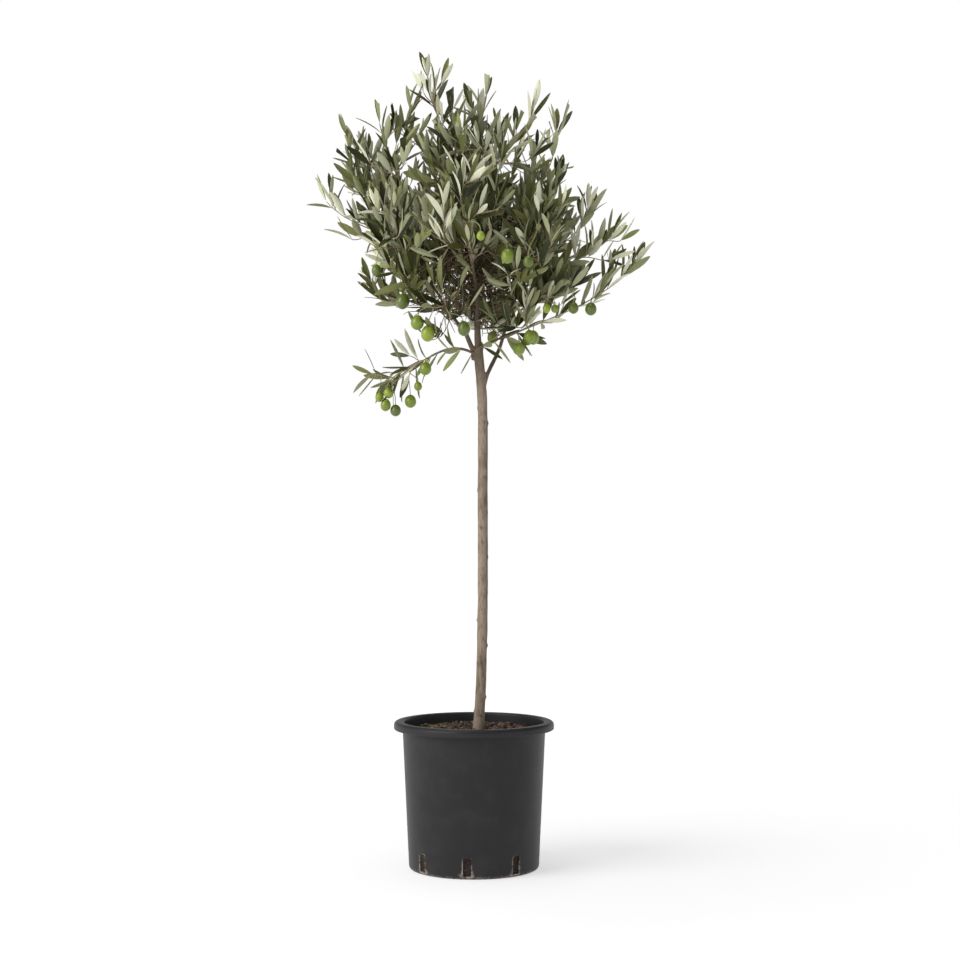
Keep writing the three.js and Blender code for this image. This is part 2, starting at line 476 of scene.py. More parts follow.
@dataclass(frozen=True)
class PotPlastic(Finish):
    """Black moulded plastic, a little faded, with dust along the foot and round the drain slots."""

    slots: int
    turn: float
    foot: float
    slot_width: float
    slot_middle: float
    slot_half: float

    def paint(self, graph: Graph) -> None:
        """Sets the faded plastic, its moulding grain, the dust and the scuffs.

        Args:
            graph: The material's nodes.
        """
        clouds = graph.grain(9.0, 4.0)
        base = graph.ramp(clouds, (0.3, tone(33, 32, 33)), (0.7, tone(41, 39, 41)))
        film = graph.fade(graph.grain(38.0, 6.0), 0.5, 0.78, 0.0, 0.07)
        colour = graph.mix(film, base, tone(96, 92, 88))
        dust = self.dust(graph)
        colour = graph.mix(graph.sum("MULTIPLY", dust, 0.85), colour, tone(150, 140, 131))
        smoothness = graph.fade(clouds, 0.0, 1.0, 0.4, 0.52)
        graph.surface("Base Color", colour)
        graph.surface("Roughness", graph.sum("ADD", smoothness, graph.sum("MULTIPLY", dust, 0.35)))
        graph.surface("Specular IOR Level", 0.24)
        graph.bump(graph.grain(1500.0, 2.0), 0.12, 0.3 * MM)
        graph.bump(graph.grain(60.0, 2.0, (1, 1, 0.4)), 0.1, 2 * MM)

    def from_slot(self, graph: Graph) -> bpy.types.NodeSocket:
        """Measures how far a place on the wall is from the edge of the nearest slot.

        Args:
            graph: The material's nodes.

        Returns:
            The distance, and 0 inside a slot.
        """
        x, y, z = graph.axes()
        pitch = 2 * math.pi / self.slots
        angle = graph.sum("ARCTAN2", x, graph.sum("MULTIPLY", y, -1.0))
        share = graph.sum("DIVIDE", graph.sum("SUBTRACT", angle, self.turn), pitch)
        near = graph.sum("ABSOLUTE", graph.sum("SUBTRACT", share, graph.sum("ROUND", share)))
        along = graph.sum("MULTIPLY", near, pitch * self.foot)
        beside = graph.sum("MAXIMUM", graph.sum("SUBTRACT", along, self.slot_width / 2), 0.0)
        above = graph.sum("ABSOLUTE", graph.sum("SUBTRACT", z, self.slot_middle))
        above = graph.sum("MAXIMUM", graph.sum("SUBTRACT", above, self.slot_half), 0.0)
        squares = graph.sum("ADD", graph.sum("POWER", beside, 2.0), graph.sum("POWER", above, 2.0))
        return graph.sum("SQRT", squares)

    def dust(self, graph: Graph) -> bpy.types.NodeSocket:
        """Lays dust round the slots, wider towards their feet, and along the pot's foot.

        Args:
            graph: The material's nodes.

        Returns:
            The dust's share.
        """
        z = graph.axes()[2]
        ragged = graph.sum("MULTIPLY", graph.sum("SUBTRACT", graph.grain(170.0, 4.0), 0.5), 8 * MM)
        narrowing = graph.fade(z, 6 * MM, 30 * MM, 0.6, 2.4)
        away = graph.sum("ADD", graph.sum("MULTIPLY", self.from_slot(graph), narrowing), ragged)
        near_slot = graph.fade(away, 0.6 * MM, 4.2 * MM, 1.0, 0.0)
        near_foot = graph.fade(graph.sum("ADD", z, ragged), 0.5 * MM, 5 * MM, 0.7, 0.0)
        fine = graph.sum("ADD", graph.grain(150.0, 4.0), graph.fade(z, 12 * MM, 40 * MM, 0.12, -0.06))
        broad = graph.sum("MULTIPLY", graph.sum("SUBTRACT", graph.grain(42.0, 2.0), 0.5), 0.6)
        broken = graph.fade(graph.sum("ADD", fine, broad), 0.47, 0.68)
        low = graph.fade(z, 50 * MM, 70 * MM, 1.0, 0.0)
        dust = graph.sum("MULTIPLY", graph.sum("MAXIMUM", near_slot, near_foot), low)
        return graph.sum("MULTIPLY", dust, broken)


@dataclass(frozen=True)
class Loam(Finish):
    """Potting soil: brown crumbs, with a green bloom of moss on the left side, and darker towards the
    bottom.
    """

    def paint(self, graph: Graph) -> None:
        """Sets the crumbs, the moss, the darkening towards the bottom and their relief.

        Args:
            graph: The material's nodes.
        """
        x, _, z = graph.axes()
        crumbs = graph.grain(420.0, 6.0)
        damp_crumb, crumb, dry_crumb = tone(26, 20, 15), tone(58, 44, 35), tone(96, 76, 62)
        soil = graph.ramp(crumbs, (0.32, damp_crumb), (0.5, crumb), (0.7, dry_crumb))
        moss = graph.ramp(crumbs, (0.35, tone(44, 42, 18)), (0.65, tone(104, 98, 56)))
        left = graph.fade(x, -20 * MM, -60 * MM)
        patch = graph.fade(graph.grain(45.0, 4.0), 0.45, 0.58)
        mossy = graph.sum("MULTIPLY", graph.sum("MULTIPLY", left, patch), 0.75)
        # Darker towards the bottom.
        darker_low = graph.fade(z, 50 * MM, 100 * MM, 0.6, 0.0)
        ground = graph.mix(mossy, soil, moss)
        graph.surface("Base Color", graph.mix(darker_low, ground, tone(24, 18, 13)))
        graph.surface("Roughness", 0.95)
        graph.bump(crumbs, 0.9, 3 * MM)


@dataclass(frozen=True)
class Litter(Finish):
    """Loose bits on the soil, such as bark chips, straw or moss: a plain colour with a fine fibre."""

    name: str
    colour: Colour

    def title(self) -> str:
        """Returns the material's name."""
        return "Litter_" + self.name

    def paint(self, graph: Graph) -> None:
        """Sets the colour and the fibre.

        Args:
            graph: The material's nodes.
        """
        darker = tuple(0.45 * c for c in self.colour[:3]) + (1.0,)
        fibre = graph.grain(520.0, 4.0, (1, 0.4, 1))
        graph.surface("Base Color", graph.ramp(fibre, (0.35, darker), (0.6, self.colour)))
        graph.surface("Roughness", 0.9)
        graph.bump(fibre, 0.6, MM)


@dataclass(frozen=True)
class Backdrop(Finish):
    """The studio's pale floor, which glows a little, and more the further away it is."""

    def paint(self, graph: Graph) -> None:
        """Sets a pale matt surface and its glow.

        Args:
            graph: The material's nodes.
        """
        away = graph.add("VectorMath", {0: graph.place}, operation="LENGTH").outputs["Value"]
        graph.surface("Base Color", (0.5, 0.5, 0.5, 1.0))
        graph.surface("Roughness", 0.95)
        graph.surface("Specular IOR Level", 0.0)
        graph.surface("Emission Color", (1.0, 1.0, 1.0, 1.0))
        graph.surface("Emission Strength", graph.fade(away, 0.4, 4.0, 0.58, 0.97))


# ---- measuring the frame -------------------------------------------------------------------------


def corners_of(node: str) -> np.ndarray:
    """Returns a CAD node's vertices as rows of x, y and z."""
    return np.array([v.co for v in frame["nodes"][node].data.vertices])


def triangles_of(node: str) -> np.ndarray:
    """Returns a CAD node's triangles as an array of triangles by corners by x, y and z.

    Args:
        node: The node's name.

    Returns:
        The array.
    """
    mesh = frame["nodes"][node].data
    mesh.calc_loop_triangles()
    return corners_of(node)[np.array([t.vertices[:] for t in mesh.loop_triangles])]


def slice_of(triangles: np.ndarray, point: Vector, normal: Vector) -> tuple[Vector, float] | None:
    """Cuts a solid by a plane.

    Args:
        triangles: The solid's triangles.
        point: A point of the plane.
        normal: The plane's normal.

    Returns:
        The middle of the cut's outline and its mean radius, or None where the plane misses.
    """
    heights = (triangles - np.array(point)) @ np.array(normal)
    cut = (heights.min(axis=1) < 0) & (heights.max(axis=1) > 0)
    middle, length = np.zeros(3), 0.0
    for corner, height in zip(triangles[cut], heights[cut]):
        ends = []
        for i, j in ((0, 1), (1, 2), (2, 0)):
            if (height[i] < 0) != (height[j] < 0):
                share = height[i] / (height[i] - height[j])
                ends.append(corner[i] + (corner[j] - corner[i]) * share)
        step = float(np.linalg.norm(ends[0] - ends[1]))
        middle += (ends[0] + ends[1]) / 2 * step
        length += step
    return (Vector(middle / length), length / (2 * math.pi)) if length else None


@dataclass
class Branch:
    """A limb, shoot or twig: its centre line and its radius at each point."""

    line: list[Vector]
    radii: list[float]

    @classmethod
    def measured(cls, node: str, start: Vector, end: Vector, count: int) -> "Branch":
        """Measures a CAD limb by slices square to the line from its foot to its tip.

        Args:
            node: The limb's node.
            start: About where its foot is.
            end: About where its tip is.
            count: The number of slices.

        Returns:
            The limb as a branch.
        """
        triangles = triangles_of(node)
        along = (end - start).normalized()
        line, radii = [], []
        for i in range(count):
            found = slice_of(triangles, start.lerp(end, (i + 0.5) / count), along)
            if found:
                line.append(found[0])
                radii.append(found[1])
        widest = sorted(radii)[len(radii) // 2]
        kept = [i for i, r in enumerate(radii) if r > 0.72 * widest]
        return cls([line[i] for i in kept], [radii[i] for i in kept])

    @classmethod
    def curved(
        cls, points: tuple[Vector, Vector, Vector, Vector], foot: float, tip: float, step: float
    ) -> "Branch":
        """Makes a tapering branch along a cubic curve.

        Args:
            points: The curve's four control points.
            foot: The radius at its foot.
            tip: The radius at its tip.
            step: About how far apart its points are.

        Returns:
            The branch.
        """
        a, b, c, d = points
        count = max(4, round(((b - a).length + (c - b).length + (d - c).length) / step))
        line, radii = [], []
        for i in range(count + 1):
            t = i / count
            s = 1 - t
            line.append(a * s**3 + b * (3 * s * s * t) + c * (3 * s * t * t) + d * t**3)
            radii.append(foot + (tip - foot) * t**0.8)
        return cls(line, radii)

    def heading(self, index: int) -> Vector:
        """Returns the way the branch runs at one of its points."""
        low, high = max(index - 1, 0), min(index + 1, len(self.line) - 1)
        return (self.line[high] - self.line[low]).normalized()

    def length(self) -> float:
        """Returns the branch's length."""
        return sum((b - a).length for a, b in zip(self.line, self.line[1:]))

    def at(self, distance: float) -> tuple[Vector, Vector]:
        """Finds a place along the branch.

        Args:
            distance: How far it is from the foot.

        Returns:
            The point, and the way that the branch runs there.
        """
        for i, (a, b) in enumerate(zip(self.line, self.line[1:])):
            step = (b - a).length
            if distance <= step or i == len(self.line) - 2:
                share = min(distance / step, 1.0)
                return a.lerp(b, share), self.heading(i).lerp(self.heading(i + 1), share).normalized()
            distance -= step
        return self.line[-1], self.heading(len(self.line) - 1)

    def run_on(self, back: float, ahead: float) -> None:
        """Lengthens the branch straight on at its ends.

        Args:
            back: How far at the foot.
            ahead: How far at the tip.
        """
        if back:
            self.line.insert(0, self.line[0] - self.heading(0) * back)
            self.radii.insert(0, self.radii[0])
        if ahead:
            self.line.append(self.line[-1] + self.heading(len(self.line) - 1) * ahead)
            self.radii.append(self.radii[-1])


class Mass:
    """One of the frame's masses of foliage."""

    def __init__(self, node: str) -> None:
        """Measures the mass.

        Args:
            node: The mass's CAD node.
        """
        self.node = node
        self.low, self.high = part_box(node)
        self.corners = corners_of(node)
        triangles = triangles_of(node)
        normals = np.cross(triangles[:, 1], triangles[:, 2])
        self.volume = float(np.einsum("ij,ij->i", triangles[:, 0], normals).sum() / 6)
        mesh = frame["nodes"][node].data
        faces = [face.vertices[:] for face in mesh.polygons]
        self.surface = BVHTree.FromPolygons([vert.co for vert in mesh.vertices], faces)
        self.middle = (self.low + self.high) / 2

    def holds(self, point: Vector) -> bool:
        """Returns whether a point is inside the mass.

        A line up from a point inside crosses the surface an odd number of times.

        Args:
            point: The point.

        Returns:
            True if it is inside.
        """
        if any(p < a or p > b for p, a, b in zip(point, self.low, self.high)):
            return False
        inside = False
        place = self.surface.ray_cast(point, UP)[0]
        while place is not None:
            inside = not inside
            place = self.surface.ray_cast(place + UP * 1e-6, UP)[0]
        return inside

    def outside(self, point: Vector) -> float:
        """Returns how far a point is outside the mass, and less than 0 inside it."""
        distance = self.surface.find_nearest(point)[3]
        return -distance if self.holds(point) else distance

    def tip(self, spring: Vector, inset: float) -> Vector:
        """Finds the mass's furthest point.

        Args:
            spring: Where it is furthest from.
            inset: How far the result is drawn back towards the middle.

        Returns:
            The point.
        """
        away = np.linalg.norm(self.corners - np.array(spring), axis=1)
        furthest = Vector(self.corners[int(away.argmax())])
        return furthest + (self.middle - furthest).normalized() * inset

    def spread(self, count: int, depth: float, rng: random.Random) -> list[Vector]:
        """Chooses points inside the mass that keep well apart.

        Args:
            count: How many.
            depth: How far inside the surface they lie, where the mass is thick enough.
            rng: The source of chance.

        Returns:
            The points.
        """
        sides = list(zip(self.low, self.high))
        tries = [Vector([rng.uniform(a, b) for a, b in sides]) for _ in range(count * 60)]
        depths = [-self.outside(point) for point in tries]
        least = min(depth, 0.45 * max(depths))
        found = [point for point, deep in zip(tries, depths) if deep > least]
        chosen = [found[0]]
        apart = [(p - chosen[0]).length for p in found]
        while len(chosen) < count:
            best = max(range(len(found)), key=apart.__getitem__)
            chosen.append(found[best])
            apart = [min(d, (p - found[best]).length) for d, p in zip(apart, found)]
        return chosen

    def point(self, x: float, y: float, z: float) -> Vector:
        """Returns the point at these shares of the mass's box."""
        return Vector([a + (b - a) * share for a, b, share in zip(self.low, self.high, (x, y, z))])


# ---- joined meshes -------------------------------------------------------------------------------


def show(
    name: str, mesh: bpy.types.Mesh, stands_for: tuple[str, ...] = ()
) -> bpy.types.Object:
    """Shows a finished mesh as a piece of the plant.

    Args:
        name: The piece's name.
        mesh: Its mesh, in place.
        stands_for: The CAD nodes that it replaces.

    Returns:
        The piece.
    """
    piece = bpy.data.objects.new(name, mesh)
    bpy.context.scene.collection.objects.link(piece)
    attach(piece, BODY)
    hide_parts(*stands_for)
    LOG.info("%s: %d faces", name, len(mesh.polygons))
    return piece


def smooth(mesh: bpy.types.Mesh, degrees: float) -> None:
    """Shades a mesh smooth, up to edges sharper than an angle."""
    mesh.shade_smooth()
    mesh.set_sharp_from_angle(angle=math.radians(degrees))


def tubes(name: str, branches: list[Branch], sides: int) -> bpy.types.Mesh:
    """Makes round, closed tubes along branches, by bevelled curves.

    Args:
        name: The mesh's name.
        branches: The branches.
        sides: The bevel's resolution: 0 gives 4 sides, and each step up gives 2 more.

    Returns:
        The mesh.
    """
    curve = bpy.data.curves.new(name, "CURVE")
    curve.dimensions = "3D"
    curve.bevel_depth = 1.0
    curve.bevel_resolution = sides
    curve.use_fill_caps = True
    for branch in branches:
        spline = curve.splines.new("POLY")
        spline.points.add(len(branch.line) - 1)
        for point, place, radius in zip(spline.points, branch.line, branch.radii):
            point.co = (*place, 1.0)
            point.radius = radius
    holder = bpy.data.objects.new(name + "_curve", curve)
    bpy.context.scene.collection.objects.link(holder)
    bpy.context.view_layer.update()
    mesh = bpy.data.meshes.new_from_object(holder.evaluated_get(bpy.context.evaluated_depsgraph_get()))
    bpy.data.objects.remove(holder)
    mesh.name = name
    work = bmesh.new()
    work.from_mesh(mesh)
    bmesh.ops.remove_doubles(work, verts=work.verts, dist=1e-6)
    bmesh.ops.recalc_face_normals(work, faces=work.faces)
    work.to_mesh(mesh)
    work.free()
    return mesh


@dataclass
class Pattern:
    """A small shape to repeat: its points, its faces and the finish that each face takes."""

    points: np.ndarray
    faces: list[tuple[int, ...]]
    sides: list[int]

    @classmethod
    def taken(cls, work: bmesh.types.BMesh) -> "Pattern":
        """Takes the shape from a bmesh, and frees it.

        Args:
            work: The bmesh.

        Returns:
            The shape.
        """
        work.verts.ensure_lookup_table()
        work.verts.index_update()
        points = np.array([v.co for v in work.verts])
        faces = [tuple(v.index for v in f.verts) for f in work.faces]
        sides = [f.material_index for f in work.faces]
        work.free()
        return cls(points, faces, sides)


@dataclass
class Copies:
    """Many small shapes, joined into one mesh."""

    points: list[np.ndarray] = field(default_factory=list)
    faces: list[tuple[int, ...]] = field(default_factory=list)
    finishes: list[int] = field(default_factory=list)
    count: int = 0

    def add(self, pattern: Pattern, matrix: Matrix, finishes: tuple[int, ...]) -> None:
        """Adds a copy of a shape.

        Args:
            pattern: The shape.
            matrix: Its place, turn and size.
            finishes: The material number for each of the shape's own face marks.
        """
        grid = np.array(matrix)
        self.points.append(pattern.points @ grid[:3, :3].T + grid[:3, 3])
        self.faces += [tuple(i + self.count for i in face) for face in pattern.faces]
        self.finishes += [finishes[side] for side in pattern.sides]
        self.count += len(pattern.points)

    def mesh(self, name: str, finishes: list[Finish], sharp: float) -> bpy.types.Mesh:
        """Joins the copies.

        Args:
            name: The mesh's name.
            finishes: The finishes that the material numbers mean.
            sharp: The angle in degrees from which an edge stays sharp.

        Returns:
            The mesh.
        """
        mesh = bpy.data.meshes.new(name)
        mesh.from_pydata(np.vstack(self.points), [], self.faces)
        for finish in finishes:
            mesh.materials.append(finish.material())
        mesh.polygons.foreach_set("material_index", self.finishes)
        mesh.update()
        smooth(mesh, sharp)
        return mesh


# ---- pot -----------------------------------------------------------------------------------------


def arc(r: float, z: float, radius: float, start: float, end: float, steps: int) -> list[Vector]:
    """Makes the points of an arc in the plane of a turned profile.

    Args:
        r: The centre's distance from the axis.
        z: The centre's height.
        radius: The arc's radius.
        start: Its first angle in degrees, 0 outwards and 90 up.
        end: Its last angle.
        steps: The number of steps between them.

    Returns:
        The points, in the XZ plane.
    """
    turns = [math.radians(start + (end - start) * i / steps) for i in range(steps + 1)]
    return [Vector((r + radius * math.cos(a), 0.0, z + radius * math.sin(a))) for a in turns]


def turned(profile: list[Vector], steps: int) -> bmesh.types.BMesh:
    """Spins a profile round the Z axis into a closed solid.

    Args:
        profile: Its points in the XZ plane, from the axis back to the axis.
        steps: The number of steps round.

    Returns:
        The solid.
    """
    work = bmesh.new()
    verts = [work.verts.new(point) for point in profile]
    edges = [work.edges.new(pair) for pair in zip(verts, verts[1:])]
    bmesh.ops.spin(
        work,
        geom=[*verts, *edges],
        cent=(0, 0, 0),
        axis=UP,
        angle=2 * math.pi,
        steps=steps,
        use_merge=True,
        use_duplicate=False,
    )
    bmesh.ops.remove_doubles(work, verts=work.verts, dist=1e-6)
    bmesh.ops.recalc_face_normals(work, faces=work.faces)
    return work


@dataclass
class NurseryPot:
    """The moulded pot: a tapering wall under a rolled rim, with drain slots round its foot."""

    wall: float = 2.2 * MM
    floor: float = 3.0 * MM
    rim_height: float = 12.0 * MM
    rim_round: float = 5.5 * MM
    foot_round: float = 5.0 * MM
    slots: int = 8
    steps: int = 192

    def __post_init__(self) -> None:
        """Measures the CAD pot."""
        corners = corners_of("pot")
        away = np.hypot(corners[:, 0], corners[:, 1])
        self.height = float(corners[:, 2].max())
        self.rim = float(away.max())
        under_rim = self.height - self.rim_height
        self.foot = float(away[corners[:, 2] < self.foot_round + 0.5 * MM].max())
        self.neck = float(away[(corners[:, 2] < under_rim + MM) & (away < self.rim - 6 * MM)].max())
        slot_tops = corners[(corners[:, 2] > 0.1 * self.height) & (corners[:, 2] < 0.3 * self.height)]
        self.slot_top = float(slot_tops[:, 2].max())
        self.slot_bottom = self.foot_round
        angles = np.arctan2(slot_tops[:, 0], -slot_tops[:, 1])
        self.turn = float(np.angle(np.exp(1j * self.slots * angles).mean())) / self.slots
        half_pitch = math.pi / self.slots
        off = np.abs((angles - self.turn + half_pitch) % (2 * half_pitch) - half_pitch)
        self.slot_width = 2 * float((np.hypot(slot_tops[:, 0], slot_tops[:, 1]) * np.sin(off)).max())

    def profile(self) -> list[Vector]:
        """Returns the pot's profile, from its underside's middle round to its floor's middle.

        Returns:
            The profile's points.
        """
        under_rim = self.height - self.rim_height
        inside = self.neck - self.wall
        lip = 3.0 * MM
        widening, rise = self.neck - self.foot, under_rim - self.foot_round
        shares = (0.04, 0.1, 0.2, 0.35, 0.5, 0.65, 0.8, 0.92, 0.975)
        slim = [(self.foot + widening * share, self.foot_round + rise * share) for share in shares]
        return [
            Vector((0, 0, 1.5 * MM)),
            Vector((self.foot - 16 * MM, 0, 1.5 * MM)),
            Vector((self.foot - 14 * MM, 0, 0)),
            *arc(self.foot - self.foot_round, self.foot_round, self.foot_round, -90, 0, 8),
            *[Vector((r, 0, z)) for r, z in slim],
            *arc(self.neck + 1.6 * MM, under_rim - 0.4 * MM, 1.6 * MM, 180, 100, 4),
            Vector((self.rim - 3.4 * MM, 0, under_rim + 0.9 * MM)),
            *arc(self.rim - 1.6 * MM, under_rim + 1.8 * MM, 1.6 * MM, -90, 0, 4),
            *arc(self.rim - self.rim_round, self.height - self.rim_round, self.rim_round, 0, 90, 8),
            *arc(inside + lip, self.height - lip, lip, 90, 180, 6),
            Vector((inside, 0, self.height - 9 * MM)),
            Vector((self.foot - self.wall, 0, self.floor)),
            Vector((0, 0, self.floor)),
        ]

    def build(self) -> bpy.types.Object:
        """Spins the wall, cuts the slots through it and rounds their edges.

        Returns:
            The pot.
        """
        work = turned(self.profile(), self.steps)
        mesh = bpy.data.meshes.new("pot_shell")
        work.to_mesh(mesh)
        work.free()
        holder = bpy.data.objects.new("pot_shell", mesh)
        cutter = bpy.data.objects.new("slot_cutters", self.cutters())
        for each in (holder, cutter):
            bpy.context.scene.collection.objects.link(each)
        cut = holder.modifiers.new("slots", "BOOLEAN")
        cut.object, cut.operation, cut.solver = cutter, "DIFFERENCE", "EXACT"
        soften = holder.modifiers.new("soften", "BEVEL")
        soften.width, soften.segments, soften.limit_method = 0.5 * MM, 2, "ANGLE"
        soften.angle_limit = math.radians(50)
        bpy.context.view_layer.update()
        made = holder.evaluated_get(bpy.context.evaluated_depsgraph_get())
        done = bpy.data.meshes.new_from_object(made)
        done.name = "pot_mesh"
        bpy.data.objects.remove(holder)
        bpy.data.objects.remove(cutter)
        return self.dress(done)

    def cutters(self) -> bpy.types.Mesh:
        """Returns the solids that cut the slots, each a block with rounded corners.

        Returns:
            The solids, as one mesh.
        """
        work = bmesh.new()
        size = (self.slot_width, 30 * MM, self.slot_top - self.slot_bottom)
        for i in range(self.slots):
            made = bmesh.ops.create_cube(work, size=1.0)["verts"]
            bmesh.ops.scale(work, vec=size, verts=made)
            edges = {edge for vert in made for edge in vert.link_edges}
            deep = [edge for edge in edges if abs(edge.verts[0].co.y - edge.verts[1].co.y) > MM]
            bevelled = bmesh.ops.bevel(
                work, geom=deep, offset=1.6 * MM, segments=3, profile=0.5, affect="EDGES", material=-1
            )
            rounded = {vert for face in bevelled["faces"] for vert in face.verts}
            made = list(rounded | {vert for vert in made if vert.is_valid})
            middle = (self.slot_top + self.slot_bottom) / 2
            bmesh.ops.translate(work, vec=(0, -self.foot, middle), verts=made)
            turn = self.turn + 2 * math.pi * i / self.slots
            bmesh.ops.rotate(work, cent=(0, 0, 0), matrix=Matrix.Rotation(turn, 3, "Z"), verts=made)
        mesh = bpy.data.meshes.new("slot_cutters")
        work.to_mesh(mesh)
        work.free()
        return mesh

    def dress(self, mesh: bpy.types.Mesh) -> bpy.types.Object:
        """Gives the pot its plastic and shows it.

        Args:
            mesh: The finished mesh.

        Returns:
            The pot.
        """
        middle = (self.slot_top + self.slot_bottom) / 2
        half = (self.slot_top - self.slot_bottom) / 2
        finish = PotPlastic(self.slots, self.turn, self.foot, self.slot_width, middle, half)
        mesh.materials.clear()
        mesh.materials.append(finish.material())
        smooth(mesh, 40)
        return show("nursery_pot", mesh, ("pot",))


# ---- soil ----------------------------------------------------------------------------------------


@dataclass
class PottingSoil:
    """The soil: a block with a crumbly top, and the bits that lie on it."""

    rings: int = 34
    steps: int = 120
    relief: float = 3.2 * MM
    chips: int = 620
    tufts: int = 240

    def __post_init__(self) -> None:
        """Measures the CAD soil and sets up its source of chance."""
        self.low, self.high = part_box("soil")
        self.radius = self.high.x
        self.level = self.high.z
        corners = corners_of("soil")
        bottom = corners[corners[:, 2] < self.low.z + MM]
        self.foot = float(np.hypot(bottom[:, 0], bottom[:, 1]).max())
        self.rng = random.Random(SEED + " soil")

    def surface(self, x: float, y: float) -> float:
        """Returns the height of the soil's top at a place.

        Args:
            x: How far right it is.
            y: How far back it is.

        Returns:
            The height.
        """
        away = math.hypot(x, y) / self.radius
        place = Vector((x, y, 0.0))
        swell = noise.noise(place * 24) * 0.9 + noise.noise(place * 75) * 0.5
        swell += noise.noise(place * 240) * 0.25
        mound = 0.9 * math.exp(-((away / 0.22) ** 2)) - 0.4 * away
        lean = 0.55 * (1 + y / self.radius)
        return self.level + self.relief * (0.75 * swell + mound + lean)

    def build(self) -> None:
        """Makes the block and everything on it."""
        shares = [1 - i / self.rings for i in range(1, self.rings)]
        profile = [
            Vector((0, 0, self.low.z)),
            Vector((self.foot, 0, self.low.z)),
            Vector((self.radius, 0, self.level)),
            *[Vector((self.radius * s, 0, self.level)) for s in shares],
            Vector((0, 0, self.level)),
        ]
        work = turned(profile, self.steps)
        for vert in work.verts:
            if vert.co.z > self.level - MM:
                vert.co.z = self.surface(vert.co.x, vert.co.y)
        mesh = bpy.data.meshes.new("soil_mesh")
        work.to_mesh(mesh)
        work.free()
        mesh.materials.append(Loam().material())
        smooth(mesh, 60)
        show("soil_block", mesh, ("soil",))
        self.scatter()
        self.roots()

    @staticmethod
    def chip() -> Pattern:
        """Returns a chip: a flat block with its edges knocked off.

        Returns:
            The chip.
        """
        work = bmesh.new()
        bmesh.ops.create_cube(work, size=1.0)
        bmesh.ops.bevel(
            work, geom=list(work.edges), offset=0.16, segments=1, profile=0.5, affect="EDGES", material=-1
        )
        for vert in work.verts:
            vert.co.x *= 1 + 0.35 * vert.co.y
        return Pattern.taken(work)

    @staticmethod
    def crumb() -> Pattern:
        """Returns a crumb: a rough ball.

        Returns:
            The crumb.
        """
        work = bmesh.new()
        bmesh.ops.create_icosphere(work, subdivisions=1, radius=0.5)
        for vert in work.verts:
            vert.co *= 1 + 0.35 * noise.noise(vert.co * 3.1)
        return Pattern.taken(work)

    def scatter(self) -> None:
        """Strews bark chips to the right, moss to the left, and crumbs and straw all over."""
        finishes = [
            Litter("bark_red", tone(130, 100, 92)),
            Litter("bark_brown", tone(98, 77, 64)),
            Litter("straw", tone(160, 140, 112)),
            Litter("moss", tone(98, 95, 50)),
            Litter("crumb", tone(64, 50, 40)),
        ]
        chip, crumb, copies = self.chip(), self.crumb(), Copies()
        for i in range(self.chips + self.tufts):
            away = self.radius * math.sqrt(self.rng.random()) * 0.975
            turn = self.rng.uniform(0, 2 * math.pi)
            x, y = away * math.cos(turn), away * math.sin(turn)
            if math.hypot(x - 6 * MM, y) < 12 * MM:
                continue
            size = self.rng.uniform(2.5, 8.5) * MM
            spin = Matrix.Rotation(self.rng.uniform(0, 2 * math.pi), 4, "Z")
            tip = Matrix.Rotation(self.rng.gauss(0, 0.35), 4, "X")
            tip = tip @ Matrix.Rotation(self.rng.gauss(0, 0.35), 4, "Y")
            if i >= self.chips:
                shape, kind = crumb, 3 if x < self.rng.gauss(-25, 18) * MM else 4
                squash = (size * 0.8, size * 0.8, size * (0.6 if kind == 3 else 0.8))
            elif self.rng.random() < 0.08:
                shape, kind, squash = chip, 2, (size * 1.6, size * 0.22, size * 0.2)
            else:
                red = x > self.rng.gauss(10, 35) * MM
                shape, kind = chip, 0 if red else (1 if self.rng.random() < 0.7 else 4)
                squash = (size, size * self.rng.uniform(0.35, 0.7), size * self.rng.uniform(0.22, 0.4))
            place = Matrix.Translation((x, y, self.surface(x, y) + 0.25 * squash[2]))
            copies.add(shape, place @ spin @ tip @ Matrix.Diagonal((*squash, 1.0)), (kind,))
        show("soil_litter", copies.mesh("soil_litter_mesh", finishes, 30))

    def roots(self) -> None:
        """Lets fine roots show in the drain slots."""
        pot = NurseryPot()
        strands = []
        for i in range(pot.slots):
            turn = pot.turn + 2 * math.pi * i / pot.slots
            across = Vector((math.cos(turn), math.sin(turn), 0))
            out = Vector((math.sin(turn), -math.cos(turn), 0))
            for _ in range(5):
                base = out * (pot.foot - 2.4 * MM)
                span = 0.42 * pot.slot_width
                tall = pot.slot_top - pot.slot_bottom
                points = []
                for share in (0.0, 0.33, 0.67, 1.0):
                    height = pot.slot_bottom + tall * self.rng.uniform(0.05, 0.95)
                    side = across * (span * (2 * share - 1) * self.rng.uniform(0.6, 1.0))
                    points.append(base + side + UP * height + out * (self.rng.uniform(-0.6, 0.6) * MM))
                strands.append(Branch.curved(tuple(points), 0.35 * MM, 0.2 * MM, 2.5 * MM))
        mesh = tubes("slot_roots_mesh", strands, 0)
        mesh.materials.append(Litter("root", tone(92, 70, 44)).material())
        smooth(mesh, 60)
        show("slot_roots", mesh)


# ---- limbs ---------------------------------------------------------------------------------------


